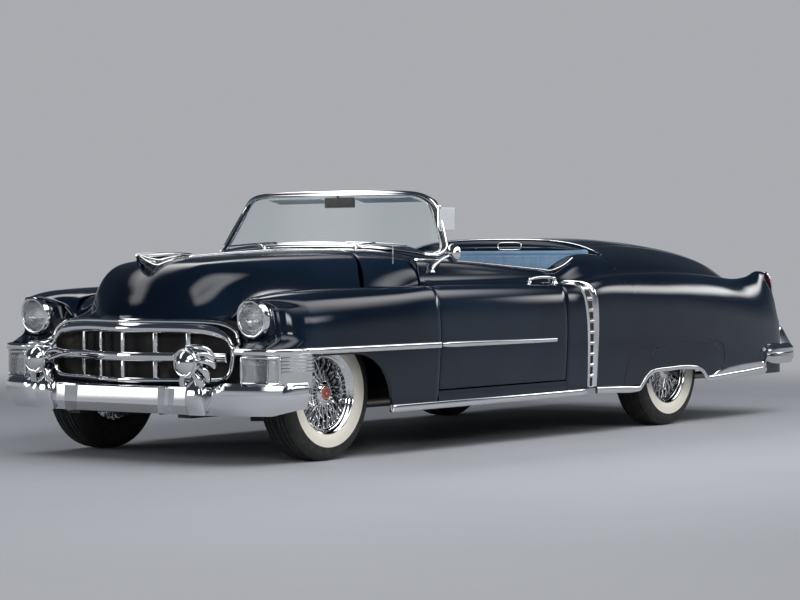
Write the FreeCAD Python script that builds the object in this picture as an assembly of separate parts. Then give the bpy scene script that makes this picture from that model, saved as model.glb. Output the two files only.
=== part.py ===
"""A full-size two-door convertible of the early 1950s, modelled as separate panels and running gear.

Millimetres. +Z is up, the ground is z = 0. The car faces -Y and its left side is +X.
The origin is on the ground at the middle of the overall length and width.
Stations run along the car: 0 is the front axle, 3200 the rear axle, -880 and 4728 the two ends.
place(s) turns a station into Y, stretched with the wheelbase and the overhangs.
"""
import FreeCAD
import Part

import math
import os

from FreeCAD import Vector

os.makedirs("parts", exist_ok=True)

# ---------------------------------------------------------------- driving dimensions
overall_length = 5608.0
overall_width = 2035.0
front_overhang = 880.0
wheelbase = 3200.0
front_track = 1501.0
rear_track = 1602.0
rear_overhang = overall_length - front_overhang - wheelbase
front_axle_y = -overall_length / 2 + front_overhang
front_end_s, rear_axle_s, rear_end_s = -880.0, 3200.0, 4728.0

tyre_radius = 345.0
tyre_half_width = 102.0
bead_radius = 200.0
flange_radius = 212.0
axle_z = tyre_radius
drum_radius = 148.0
shaft_z = axle_z + 25   # propeller shaft
hub_radius = 45.0
stub_radius = 17.0
bore_clearance = 0.1
kingpin_x = front_track / 2 - 110.5
kingpin_radius = 18.0

skin = 14.0             # wall of a body panel
hood_skin_t = 18.0
lid_thickness = 18.0
tunnel_half_width = 205.0
tunnel_top = 600.0
gap = 6.0               # shut line between two panels
seat_gap = 0.3          # between a soft piece and what carries it

arch_radius = 412.0     # front wheel opening
arch_centre_z = 130.0
sill_z = 272.0          # lower edge of the body side
side_z = 560.0          # height at which the side tables give the side
door_bottom_z = 334.0
door_front_s = 745.0
door_back_s = 1940.0
door_inner_x = 790.0
widest_x = 1010.0       # body side at the doors
hood_back_radius = 940.0
hood_back_centre_s = -180.0
trunk_front_s = 3606.0
cockpit_back_s = 2690.0
cockpit_half_width = 742.0
glass_thickness = 6.0

plate_hole_spacing = 178.0
plate_hole_radius = 3.5
front_plate_z = 326.0
rear_plate_z = 395.0


def place(s):
    if s < 0:
        return front_axle_y + s * front_overhang / -front_end_s
    if s < rear_axle_s:
        return front_axle_y + s * wheelbase / rear_axle_s
    return front_axle_y + wheelbase + (s - rear_axle_s) * rear_overhang / (rear_end_s - rear_axle_s)


door_reach = place(door_back_s) - place(door_front_s)     # hinge to the door's rear edge


# ---------------------------------------------------------------- helpers
def smooth(table, s):
    """The row of a table at station s, by cubic interpolation between its rows."""
    rows = [r for r in table]
    if s <= rows[0][0]:
        return list(rows[0][1:])
    if s >= rows[-1][0]:
        return list(rows[-1][1:])
    k = max(i for i in range(len(rows) - 1) if rows[i][0] <= s)
    a, b = rows[k], rows[k + 1]
    h = b[0] - a[0]
    t = (s - a[0]) / h
    out = []
    for c in range(1, len(a)):
        slope = (b[c] - a[c]) / h
        before = (a[c] - rows[k - 1][c]) / (a[0] - rows[k - 1][0]) if k else slope
        after = (rows[k + 2][c] - b[c]) / (rows[k + 2][0] - b[0]) if k + 2 < len(rows) else slope
        ma = 0.0 if before * slope <= 0 else 2 * before * slope / (before + slope)
        mb = 0.0 if after * slope <= 0 else 2 * after * slope / (after + slope)
        out.append((2 * t**3 - 3 * t**2 + 1) * a[c] + (t**3 - 2 * t**2 + t) * h * ma
                   + (3 * t**2 - 2 * t**3) * b[c] + (t**3 - t**2) * h * mb)
    return out


def unit(a, b):
    length = math.hypot(b[0] - a[0], b[1] - a[1])
    return ((b[0] - a[0]) / length, (b[1] - a[1]) / length), length


def rounded(points, share=0.47):
    """Edges of a polyline with its corners rounded: ("line", a, b) and ("arc", a, middle, b)."""
    made, start = [], points[0]
    for i in range(1, len(points) - 1):
        p = points[i]
        (ux, uy), lu = unit(p, points[i - 1])
        (vx, vy), lv = unit(p, points[i + 1])
        d = share * min(lu, lv)
        a = (p[0] + ux * d, p[1] + uy * d)
        b = (p[0] + vx * d, p[1] + vy * d)
        bx, by = ux + vx, uy + vy
        size = math.hypot(bx, by)
        half = math.acos(max(-1.0, min(1.0, -(ux * vx + uy * vy)))) / 2
        if size < 1e-3 or half < 1e-3:
            middle = ((a[0] + b[0]) / 2, (a[1] + b[1]) / 2)
            middle = (middle[0] + (p[0] - middle[0]) * 0.02, middle[1] + (p[1] - middle[1]) * 0.02)
        else:
            radius = d / math.tan(half)
            reach = radius / math.cos(half) - radius
            middle = (p[0] + bx / size * reach, p[1] + by / size * reach)
        made.append(("line", start, a))
        made.append(("arc", a, middle, b))
        start = b
    made.append(("line", start, points[-1]))
    return made


def shifted(points, t):
    """The polyline moved t to its right-hand side, corners mitred."""
    out = []
    for i, p in enumerate(points):
        dirs = []
        if i:
            dirs.append(unit(points[i - 1], p)[0])
        if i < len(points) - 1:
            dirs.append(unit(p, points[i + 1])[0])
        nx = sum(d[1] for d in dirs)
        nz = sum(-d[0] for d in dirs)
        size = math.hypot(nx, nz)
        nx, nz = nx / size, nz / size
        cos = nx * dirs[0][1] - nz * dirs[0][0]
        out.append((p[0] + nx * t / max(cos, 0.4), p[1] + nz * t / max(cos, 0.4)))
    return out


def edge_of(kind, y):
    pts = [Vector(p[0], y, p[1]) for p in kind[1:]]
    if kind[0] == "line":
        return Part.LineSegment(pts[0], pts[1]).toShape()
    return Part.Arc(*pts).toShape()


def backwards(edges):
    return [(e[0], *reversed(e[1:])) for e in reversed(edges)]


def shell_section(points, y, t=skin):
    """A closed wire at y: the rounded outline and, t inside it, its copy."""
    outer = rounded(points)
    inner = backwards(rounded(shifted(points, t)))
    ends = [("line", outer[-1][-1], inner[0][1]), ("line", inner[-1][-1], outer[0][1])]
    return Part.Wire([edge_of(e, y) for e in outer + [ends[0]] + inner + [ends[1]]])


def solid_section(points, y, closing):
    """A closed wire at y: the rounded outline closed by straight lines through the closing points."""
    outer = rounded(points)
    path = [points[-1], *closing, points[0]]
    lines = [("line", path[i], path[i + 1]) for i in range(len(path) - 1)]
    return Part.Wire([edge_of(e, y) for e in outer + lines])


def loft(wires, ruled=False):
    shape = Part.makeLoft(wires, True, ruled, False, 2)     # degree 2 stays close between uneven stations
    return shape if shape.Volume > 0 else shape.reversed()


def steps(a, b, n):
    return [a + (b - a) * i / (n - 1) for i in range(n)]


def box(x0, x1, s0, s1, z0, z1):
    return Part.makeBox(x1 - x0, place(s1) - place(s0), z1 - z0, Vector(x0, place(s0), z0))


def tube(radius, start, end, at, axis):
    """A cylinder along X, Y or Z from start to end; at holds its other two coordinates in order."""
    origin = {"x": (start, at[0], at[1]), "y": (at[0], start, at[1]), "z": (at[0], at[1], start)}[axis]
    way = {"x": (1, 0, 0), "y": (0, 1, 0), "z": (0, 0, 1)}[axis]
    return Part.makeCylinder(radius, end - start, Vector(*origin), Vector(*way))


def fuse(*shapes):
    whole = shapes[0].multiFuse(list(shapes[1:])) if len(shapes) > 1 else shapes[0]
    return whole.removeSplitter()


def mirror(shape):
    return shape.mirror(Vector(0, 0, 0), Vector(1, 0, 0))


def both(shape):
    return Part.makeCompound([shape, mirror(shape)])


def placed(plane, p, level):
    """A point of a flat outline: "sz" holds (s, z) at x, "xs" holds (x, s) at z and "xz" (x, z) at s."""
    if plane == "sz":
        return Vector(level, place(p[0]), p[1])
    if plane == "xs":
        return Vector(p[0], place(p[1]), level)
    return Vector(p[0], place(level), p[1])


def prism(points, plane, low, high):
    """A straight prism on a flat outline, from level low to level high."""
    wire = Part.makePolygon([placed(plane, p, low) for p in points + points[:1]])
    return Part.Face(wire).extrude(placed(plane, points[0], high) - placed(plane, points[0], low))


def curved_wire(edges, plane, level):
    made = []
    for edge in edges:
        ends = [placed(plane, p, level) for p in edge[1:]]
        made.append(Part.LineSegment(*ends).toShape() if edge[0] == "line" else Part.Arc(*ends).toShape())
    return Part.Wire(made)


def rounded_prism(points, plane, low, high, share=0.3):
    """prism() with every corner rounded."""
    first = ((points[0][0] + points[-1][0]) / 2, (points[0][1] + points[-1][1]) / 2)
    face = Part.Face(curved_wire(rounded([first, *points, first], share), plane, low))
    return face.extrude(placed(plane, first, high) - placed(plane, first, low))


def strip_edges(outer, inner, share):
    """The closed outline between a line and a second line beside it, both with rounded corners."""
    back = list(reversed(inner))
    ends = [("line", outer[-1], back[0])], [("line", back[-1], outer[0])]
    return rounded(outer, share) + ends[0] + rounded(back, share) + ends[1]


def inset(points, by):
    """A closed outline that runs clockwise, moved inwards."""
    return shifted([points[-1], *points, points[0]], by)[1:-1]


def turned(points, axis_at):
    """A solid of revolution about an X axis through axis_at = (y, z); points are (x, radius)."""
    y, z = axis_at
    wire = Part.makePolygon([Vector(p[0], y, z + p[1]) for p in points + points[:1]])
    return Part.Face(wire).revolve(Vector(0, y, z), Vector(1, 0, 0), 360)


def keep(name, shape):
    solids = [s for s in shape.Solids if s.Volume > 1]
    made = solids[0] if len(solids) == 1 else Part.makeCompound(solids)
    made.exportStep(f"parts/{name}.step")
    bad = [s for s in solids if not s.isValid()]
    print(f"{name:22s} solids {len(solids)} volume {sum(s.Volume for s in solids) / 1e6:9.2f} l"
          f"{'  NOT VALID' if bad else ''}")


# ---------------------------------------------------------------- body shape
# Hood and cowl, left half. Each row: station, then (x, z) of four corners of the outline.
#   s, top z, shoulder x, z, hip x, z, foot x, z
hood_table = [
    (-634, 752, 110, 748, 180, 744, 250, 741),
    (-615, 806, 190, 798, 265, 760, 400, 740),
    (-580, 872, 235, 858, 325, 762, 480, 738),
    (-530, 932, 268, 915, 358, 766, 545, 736),
    (-460, 988, 296, 968, 382, 786, 572, 748),
    (-360, 1024, 316, 1002, 402, 838, 600, 806),
    (-200, 1041, 340, 1018, 438, 876, 632, 842),
    (50, 1056, 390, 1030, 520, 910, 668, 856),
    (300, 1068, 450, 1040, 620, 938, 724, 866),
    (560, 1079, 540, 1052, 735, 972, 800, 872),
    (745, 1086, 600, 1060, 846, 1008, 868, 878),
    (900, 1090, 620, 1062, 848, 1007, 872, 880),
    (1200, 1092, 620, 1058, 848, 996, 876, 881),
]
# Body side from the front fender to the back of the door, left half. Ahead of the door the side
# starts at the hood seam, and behind it at a valley under the belt line.
#   s, valley x, z, crown inner x, z, crown outer x, z, shoulder x, z, side x at side_z, sill x
side_table = [
    (-520, 566, 722, 666, 838, 862, 838, 894, 706, 905, 880),
    (-420, 590, 772, 690, 858, 900, 852, 962, 722, 966, 935),
    (-300, 620, 826, 715, 872, 920, 864, 984, 735, 990, 965),
    (0, 668, 856, 760, 886, 940, 874, 1000, 750, 1006, 982),
    (400, 762, 872, 816, 890, 955, 876, 1003, 756, 1009, 985),
    (745, 874, 880, 900, 890, 968, 876, 1004, 760, 1010, 985),
    (1300, 880, 882, 906, 888, 972, 874, 1004, 758, 1010, 985),
    (1946, 886, 878, 910, 882, 974, 868, 1003, 752, 1009, 985),
]
# Top of the belt line along door and quarter.
belt_table = [(700, 1022), (1000, 1015), (1260, 1003), (1600, 981), (1946, 957)]
# Rear body, left half: deck, then fender.
#   s, top z, shoulder x, z, hip x, z, valley x, z, crown inner x, z, crown outer x, z,
#   fender shoulder x, z, side x at 560, sill x
rear_table = [
    (1900, 958, 700, 957, 846, 948, 886, 878, 910, 882, 974, 868, 1003, 752, 1009, 985),
    (2070, 952, 700, 951, 846, 942, 886, 878, 910, 882, 976, 868, 1004, 754, 1010, 986),
    (2160, 985, 700, 982, 844, 970, 885, 886, 908, 890, 980, 876, 1008, 764, 1013, 988),
    (2277, 1036, 692, 1028, 836, 1008, 881, 904, 903, 910, 982, 898, 1010, 782, 1013, 989),
    (2450, 1096, 660, 1072, 822, 1020, 874, 920, 896, 928, 974, 914, 1011, 796, 1014, 989),
    (2700, 1134, 620, 1096, 808, 1008, 866, 926, 890, 936, 964, 920, 1011, 800, 1014, 989),
    (3050, 1146, 580, 1106, 780, 1004, 852, 926, 878, 936, 952, 918, 1010, 796, 1014, 989),
    (3400, 1132, 550, 1094, 756, 990, 836, 916, 866, 928, 938, 908, 1004, 784, 1014, 988),
    (3750, 1100, 540, 1066, 726, 962, 818, 892, 854, 908, 924, 888, 994, 762, 1008, 984),
    (4050, 1052, 540, 1022, 702, 920, 800, 850, 846, 886, 908, 868, 978, 738, 1000, 978),
    (4230, 1004, 540, 975, 690, 872, 792, 820, 846, 902, 900, 888, 966, 724, 992, 972),
    (4330, 962, 540, 932, 684, 826, 790, 790, 850, 932, 894, 920, 958, 716, 986, 968),
    (4430, 888, 540, 858, 680, 752, 790, 730, 852, 930, 892, 920, 950, 706, 978, 964),
    (4510, 790, 540, 765, 676, 690, 790, 660, 854, 925, 890, 915, 940, 700, 968, 960),
    (4560, 690, 540, 672, 674, 630, 790, 610, 856, 920, 888, 912, 932, 700, 960, 955),
    (4620, 600, 540, 590, 674, 570, 790, 560, 858, 920, 886, 910, 926, 700, 955, 950),
]


def pairs(values):
    return [(values[i], values[i + 1]) for i in range(0, len(values), 2)]


def hood_points(s):
    top, *rest = smooth(hood_table, s)
    shoulder, hip, foot = pairs(rest)
    return [(0, top), (0.55 * shoulder[0], top), shoulder, hip, foot]


def side_points(s, sill=sill_z):
    *upper, side_x, sill_x = smooth(side_table, s)
    return pairs(upper) + [(side_x, side_z), (sill_x, sill)]


def rear_points(s):
    top, *rest = smooth(rear_table, s)
    *upper, side_x, sill_x = rest
    return top, pairs(upper) + [(side_x, side_z), (sill_x, sill_z)]


def belt_z(s):
    return smooth(belt_table, s)[0]


# ---------------------------------------------------------------- body panels
seam = 0.5              # between two fixed panels that meet edge to edge
hinge_x = widest_x      # the vertical line that a door turns about lies on the body side
hood_stations = [-634, -615, -580, -530, -460, -370, -260, -130, 20, 170, 320, 480, 640, 800]
cowl_stations = [480, 620, 745, 900, 1075]
fender_stations = [-520, -420, -300, -100, 150, 400, door_front_s - gap]
door_stations = [745, 1060, 1400, 1680, 1960]
quarter_stations = [1900, 2070, 2160, 2277, 2450, 2700, 3050, 3400, 3750, 4050, 4230, 4330, 4430, 4510, 4560]


def full(half):
    """Both sides of an outline given from the middle outwards, from right to left."""
    return [(-x, z) for x, z in reversed(half) if x > 0] + [(x, z) for x, z in half if x > 0]


def hood_cylinder(radius):
    return tube(radius, 300, 1500, (0, place(hood_back_centre_s)), "z")


def hood_skin(stations, thickness):
    tip = 6                 # thinner where the hood runs down to a point
    return loft([shell_section(full(hood_points(s)), place(s), tip if s < -620 else thickness)
                 for s in stations])


def hood_core(stations, down=500):
    """The solid from the hood and cowl's outer face down."""
    return loft([solid_section(full(hood_points(s)), place(s), [(hood_points(s)[-1][0], down),
                                                                (-hood_points(s)[-1][0], down)])
                 for s in stations])


def hood_underside(stations, below, down=300):
    """The solid under the hood and cowl, from a little below their outer face down."""
    wires = []
    for s in stations:
        outline = shifted(full(hood_points(s)), below)
        wires.append(solid_section(outline, place(s), [(outline[-1][0], down), (outline[0][0], down)]))
    return loft(wires)


def hood():
    skin_shape = hood_skin(hood_stations, hood_skin_t)
    return skin_shape.common(hood_cylinder(hood_back_radius))


def cowl():
    shell = hood_skin(cowl_stations, skin)
    shell = shell.cut(hood_cylinder(hood_back_radius + gap))
    for side in (1, -1):
        outside = box(door_inner_x - gap, 1200, door_front_s - gap - 6, 1300, 200, 1300)
        shell = shell.cut(outside if side > 0 else mirror(outside))
    outline = [(-700, 1100), (-640, 985), (-380, 915), (380, 915), (640, 985), (700, 1100)]
    cockpit = prism(outline, "xs", 700, 1300)
    return shell.cut(cockpit)


def side_start(s):
    """Where the fender begins beside the hood or cowl."""
    foot = hood_points(s)[-1]
    return (foot[0] + gap + 1.5, foot[1] + 1)


def fender_outline(s, sill=sill_z):
    return [side_start(s)] + side_points(s, sill)[1:]


def front_fender():
    shell = loft([shell_section(fender_outline(s), place(s)) for s in fender_stations])
    face = rounded_prism([(606, 404), (606, 700), (676, 812), (716, 838), (812, 838), (850, 812), (894, 706),
                          (900, 560), (880, 404)], "xz", -552, -519, 0.45)
    shell = fuse(shell, face)
    arch = tube(arch_radius, 700, 1100, (place(0), arch_centre_z), "x")
    arch = fuse(arch, box(700, 1100, -arch_radius + 78, arch_radius - 10, 100, 380))
    shell = shell.cut(arch)
    shell = shell.cut(box(840, 1100, -530, -330, 200, 404))
    return shell


def door_outline(s):
    top = belt_z(s)
    crest = [(door_inner_x + skin, top - 3), (824, top), (846, top - 14), (862, 905)]
    return crest + side_points(s, door_bottom_z)


def door_block():
    wires = []
    for s in door_stations:
        inner_face = [(door_inner_x, door_bottom_z), (door_inner_x, belt_z(s) - 18)]
        wires.append(solid_section(door_outline(s), place(s), inner_face))
    return loft(wires)


def door():
    reach = tube(door_reach, 200, 1200, (hinge_x, place(door_front_s)), "z")
    return door_block().common(reach)


def striker():
    ring = tube(door_reach + gap + 4, 610, 670, (hinge_x, place(door_front_s)), "z")
    ring = ring.cut(tube(door_reach + 0.3, 600, 680, (hinge_x, place(door_front_s)), "z"))
    return ring.common(box(880, 940, 1900, 2000, 600, 700))


def quarter_skin():
    return loft([shell_section(rear_points(s)[1], place(s)) for s in quarter_stations])


core_depth = skin / 2       # the jamb's block stays this far under the quarter's outer face


def quarter_core():
    """The solid inside the quarter's outer face, out from the cabin wall."""
    wires = []
    for s in (1900, 2070, 2160, 2277, 2450):
        outline = shifted(rear_points(s)[1], core_depth)
        wall = [(cockpit_half_width, outline[-1][1]), (cockpit_half_width, 800)]
        wires.append(solid_section(outline, place(s), wall))
    return loft(wires)


skirt_outline = [(2826, 250), (2846, 430), (2880, 487), (3590, 494), (3650, 440), (3700, 250)]
opening_outline = [(2720, 200), (2790, 290), (2874, 344), (3200, 352), (3400, 340), (3457, 315), (3500, 272),
                   (3500, 200)]


def quarter():
    shell = quarter_skin()
    wall = box(cockpit_half_width, cockpit_half_width + skin, 1880, cockpit_back_s, 346, 940)
    jamb = quarter_core().common(box(0, 1200, 1880, 1966, 200, 1200))
    shell = fuse(shell, wall, jamb)
    opening = box(-10, cockpit_half_width, 1800, cockpit_back_s, 800, 1200)
    shell = shell.cut(opening).cut(deck_plan(0))
    reach = tube(door_reach + gap, 200, 1200, (hinge_x, place(door_front_s)), "z")
    shell = shell.cut(reach)
    shell = shell.cut(prism(opening_outline, "sz", 900, 1100))
    shell = shell.cut(prism(skirt_outline, "sz", 930, 1100))
    return fuse(shell, striker())


def skirt():
    inner = [(2826 + seam * 2, 250), (2846 + seam * 2, 430), (2880 + seam * 2, 487 - seam * 2),
             (3590 - seam * 2, 494 - seam * 2), (3650 - seam * 2, 440), (3700 - seam * 2, 250)]
    panel = quarter_skin().common(prism(inner, "sz", 930, 1100))
    return panel.cut(prism(opening_outline, "sz", 900, 1100))


def deck_points(s):
    top, rest = rear_points(s)
    x, z = rest[0]
    out, down = rest[1][0] - x, rest[1][1] - z
    return full([(0, top), (0.55 * x, top), (x + 0.1 * out, z + 0.1 * down)])


def deck_plan(inset):
    """The middle strip between the quarters, seen from above, as a tall block."""
    edge = [(rear_points(s)[1][0][0] - inset, s) for s in quarter_stations]
    return prism(edge + [(-x, s) for x, s in reversed(edge)], "xs", 400, 1300)


def boot_cover():
    wires = [shell_section(deck_points(s), place(s)) for s in (2696, 2850, 3100, 3330)]
    return loft(wires).common(deck_plan(seam))


def rear_deck():
    wires = [shell_section(deck_points(s), place(s)) for s in (3336, 3470, trunk_front_s - gap)]
    return loft(wires).common(deck_plan(seam))


def trunk_lid():
    stations = [trunk_front_s, 3830, 4050, 4230, 4330, 4430, 4510, 4556]
    wires = [shell_section(deck_points(s), place(s), lid_thickness) for s in stations]
    return loft(wires).common(deck_plan(gap))


# ---------------------------------------------------------------- running gear
rail_x = (345.0, 435.0)
rail_top = 335.0
kick_up_z = 570.0
shaft_radius = 38.0
shaft_room = 46.0       # between the propeller shaft and a crossmember
axle_tube_radius = 40.0
nose_reach = 149.0      # from the rear axle to the face that the shaft bolts to


def chassis_frame():
    path = [(-590, 235), (-590, rail_top), (2704, rail_top), (2880, kick_up_z), (4480, kick_up_z),
            (4480, 470), (2940, 470), (2740, 215), (700, 215), (420, 235)]
    rail = prism(path, "sz", *rail_x)
    crosses = [box(-400, 400, -500, -440, 245, 325), box(-400, 400, -60, 60, 236, 296),
               box(-400, 400, 1180, 1260, 216, shaft_z - shaft_radius - shaft_room),
               box(-400, 400, 2560, 2600, 216, shaft_z - shaft_radius - shaft_room),
               box(-400, 400, 3440, 3500, 490, 560), box(-400, 400, 4400, 4470, 490, 560)]
    outriggers = [box(430, 758, s, s + 60, 290, 330) for s in (800, 1850)]
    return fuse(rail, mirror(rail), *crosses, *outriggers, *[mirror(o) for o in outriggers])


def engine_block():
    block = box(-300, 300, -280, 470, 300, 900)
    mounts = box(-rail_x[0] + seam, rail_x[0] - seam, 0, 80, 300, 335)
    return fuse(block, mounts)


def driveline():
    front, back = place(470 + seam), place(1110)
    case = Part.makeCone(185, 105, back - front, Vector(0, front, 400), Vector(0, 1, 0))
    shaft_end = place(rear_axle_s) - nose_reach - seat_gap
    shaft = tube(shaft_radius, back + seat_gap, shaft_end, (0, shaft_z), "y")
    return Part.makeCompound([case, shaft])


def rear_axle():
    """Axle tubes, differential, brake plates and stubs as one turned piece, with its nose and leaf springs."""
    at = (place(rear_axle_s), axle_z)
    end, plate = rear_track / 2 + 60, rear_track / 2 - 92
    half = [(0, 140), (60, 136), (108, 96), (130, axle_tube_radius), (plate - 8, axle_tube_radius),
            (plate - 8, 150), (plate, 150), (plate, stub_radius), (end, stub_radius), (end, 0.01)]
    axle = turned([(-x, radius) for x, radius in reversed(half)] + half[1:], at)
    nose = tube(60, at[0] - nose_reach, at[0] - 60, (0, shaft_z), "y")
    springs = []
    for side in (1, -1):
        x0, x1 = (rail_x[1] + seam, 495) if side > 0 else (-495, -rail_x[1] - seam)
        leaf_z = axle_z - 53
        springs.append(box(x0, x1, 2600, 3800, leaf_z, leaf_z + 14))
        springs.append(box(x0, x1, 2560, 2610, leaf_z - 42, leaf_z + 14))
        springs.append(box(x0, x1, 3780, 3830, leaf_z, kick_up_z - 30))
    return fuse(axle, nose, *springs)


def exhaust():
    """One pipe and muffler to a side, each hung from its rail."""
    at = (534, 256)
    pipe = tube(24, place(460), place(4470), at, "y")
    muffler = tube(66, place(1000), place(1750), at, "y")
    hangers = [box(rail_x[1] + seam, at[0], s, s + 20, at[1] - 10, at[1] + 10) for s in (480, 2350)]
    return both(fuse(pipe, muffler, *hangers))


def fuel_tank():
    half, bottom, top = 330, 420, kick_up_z + 0.2
    return rounded_prism([(-half, bottom), (half, bottom), (half, top), (-half, top)], "xz", 3640, 4360, 0.2)


def front_suspension():
    """Upper and lower arms on both sides, with the pins that the knuckles turn on."""
    inner, outer = rail_x[1] + seam, kingpin_x + 6
    low = prism([(inner, -140), (outer, -34), (outer, 34), (inner, 140)], "xs", axle_z - 149, axle_z - 127)
    high = prism([(inner, -110), (outer, -30), (outer, 30), (inner, 110)], "xs", axle_z + 127, axle_z + 145)
    tower = box(inner, rail_x[1] + 10, -110, 110, axle_z - 135, axle_z + 145)
    pin = tube(kingpin_radius, axle_z - 145, axle_z + 141, (kingpin_x, place(0)), "z")
    return both(fuse(low, high, tower, pin))


def knuckle():
    """The left upright, its stub axle and its brake backing plate."""
    upright = tube(28, axle_z - 100, axle_z + 110, (kingpin_x, place(0)), "z")
    stub = tube(stub_radius, kingpin_x, front_track / 2 + 60, (place(0), axle_z), "x")
    plate = tube(120, front_track / 2 - 90, front_track / 2 - 84, (place(0), axle_z), "x")
    web = box(kingpin_x, front_track / 2 - 85, -26, 26, axle_z - 45, axle_z + 45)
    arm = box(kingpin_x - 20, kingpin_x + 20, 20, 150, axle_z - 95, axle_z - 70)
    whole = fuse(upright, stub, plate, web, arm)
    return whole.cut(tube(kingpin_radius + bore_clearance, 0, 1000, (kingpin_x, place(0)), "z"))


def tyre(x, s):
    """Half profile: distance from the centre plane, and how far from bead to tread."""
    half = [(79, 0.0), (79, 0.1), (97, 0.28), (tyre_half_width, 0.52), (96, 0.79), (76, 0.96), (50, 1.0)]
    half = [(w, bead_radius + share * (tyre_radius - bead_radius)) for w, share in half]
    profile = [(-w, r) for w, r in half] + list(reversed(half))
    return turned([(x + w, r) for w, r in profile], (place(s), axle_z))


def rim(x, s):
    """Barrel, wheel disc, hub and brake drum; x is the wheel's centre plane and out is away from the car."""
    out = 1 if x > 0 else -1
    bore = stub_radius + bore_clearance
    inside, outside = bead_radius - 9, bead_radius - seat_gap
    flange = [(-85, inside), (-85, flange_radius), (-79.3, flange_radius), (-79.3, outside)]
    barrel = flange + [(-w, r) for w, r in reversed(flange)]
    disc = [(18, bore), (18, inside + 1), (32, inside + 1), (32, bore)]
    boss = [(-76, bore), (-76, 60), (-72, drum_radius), (-10, drum_radius), (-10, 70), (70, 62), (70, bore)]
    cap = [(64, 0.01), (64, 60), (74, 58), (82, 40), (86, 0.01)]
    shapes = []
    for outline in (barrel, disc, boss, cap):
        shapes.append(turned([(x + out * along, radius) for along, radius in outline], (place(s), axle_z)))
    return fuse(*shapes)


# ---------------------------------------------------------------- ends of the car
def radiator():
    core = box(-330, 330, -520, -470, 345, 700)
    panel = box(-606 + seam, 606 - seam, -545, -530, 404, 700)
    link = box(-330, 330, -531, -519, 345, 700)
    feet = [box(x, x + 60, -520, -460, 335 + seam, 350) for x in (-420, 360)]
    ties = [box(x, x + 100, -520, -470, 345, 380) for x in (-420, 320)]
    stops = box(-210, -190, -500, -480, 690, 1100)
    stops = fuse(stops, mirror(stops))
    under_hood = hood_underside([-530, -460, -360], hood_skin_t + 0.4)
    return fuse(core, panel, link, *feet, *ties, stops.common(under_hood))


def inner_fenders():
    wall_x, foot = rail_x[1], rail_top + seam
    profile = [(wall_x - 12, foot), (wall_x, foot), (wall_x, 735), (590, 762), (590, 774), (wall_x - 12, 745)]
    return both(prism(profile, "xz", -340, 689))


def firewall():
    plate = box(-782, 782, 690, 702, rail_top + seam, 1100).common(hood_underside(cowl_stations, 26))
    top = box(400, 700, 690, 702, 900, 1100).common(hood_underside(cowl_stations, skin + 0.3))
    pillar = box(756, 782, 690, 1060, rail_top + seam, 960)
    whole = fuse(plate, top, mirror(top), pillar, mirror(pillar))
    return whole.cut(box(-tunnel_half_width - 8, tunnel_half_width + 8, 600, 800, 300, tunnel_top))


def grille():
    half = 596
    bars = [box(-half, half, -640, -600, 661, 716), box(-half, half, -640, -606, 535, 567),
            box(-half, half, -636, -600, 429, 455)]
    uprights = [box(x - 5, x + 5, -628, -606, 440, 700) for x in (-450, -300, -150, 0, 150, 300, 450)]
    sides = [box(x, x + 12, -640, -553, 404, 716) for x in (-604, 592)]
    ties = [box(x, x + 30, -606, -545 - seam, 540, 560) for x in (-250, 220)]
    return fuse(*bars, *uprights, *sides, *ties)


def plate_holes(s0, s1, z):
    """The two holes that a licence plate bolts to."""
    return fuse(*[tube(plate_hole_radius, place(s0), place(s1), (x, z), "y")
                  for x in (-plate_hole_spacing / 2, plate_hole_spacing / 2)])


bumper_thickness = 52.0
front_blade_z = (256.0, 396.0)
rear_blade_z = (330.0, 460.0)
bullet_at = (528.0, 521.0)  # x and z of the bumper bullets


def front_bumper():
    half = [(300, -712), (538, -700), (700, -672), (850, -610), (955, -520), (1000, -420), (1003, -340)]
    outer = [(-x, s) for x, s in reversed(half)] + half
    edges = strip_edges(outer, shifted(outer, -bumper_thickness), 0.4)
    blade = Part.Face(curved_wire(edges, "xs", front_blade_z[0]))
    blade = blade.extrude(Vector(0, 0, front_blade_z[1] - front_blade_z[0]))
    bullets = []
    for x in (-bullet_at[0], bullet_at[0]):
        nose = [(0.01, -880), (22, -868), (44, -830), (60, -780), (74, -726), (76, -700), (60, -676),
                (0.01, -676)]
        wire = Part.makePolygon([placed("xs", (x + p[0], p[1]), bullet_at[1]) for p in nose + nose[:1]])
        bullets.append(Part.Face(wire).revolve(Vector(x, 0, bullet_at[1]), Vector(0, 1, 0), 360))
        bullets.append(box(x - 50, x + 50, -716, -668, 380, 500))
    brackets = [box(x, x + 60, -662, -590 - seam, 270, 330) for x in (-420, 360)]
    return fuse(blade, *bullets, *brackets).cut(plate_holes(-720, -640, front_plate_z))


def headlights():
    at = (767.0, 736.0)
    ring = tube(97, place(-588), place(-552 - seam), at, "y")
    ball = Part.makeSphere(150, placed("xs", (at[0], -588 + 122), at[1]))
    lens = ball.common(tube(80, place(-640), place(-580), at, "y"))
    return both(fuse(ring, lens))


def parking_lamps(fender):
    outline = [(735, -580), (872, -572), (948, -506), (992, -410), (1000, -312), (970, -312), (920, -480),
               (850, -540), (735, -552 - seam)]
    lamp = prism(outline, "xs", 412, 552)
    lamp = lamp.cut(fender)
    solids = sorted(lamp.Solids, key=lambda s: -s.Volume)
    return both(solids[0])


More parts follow.
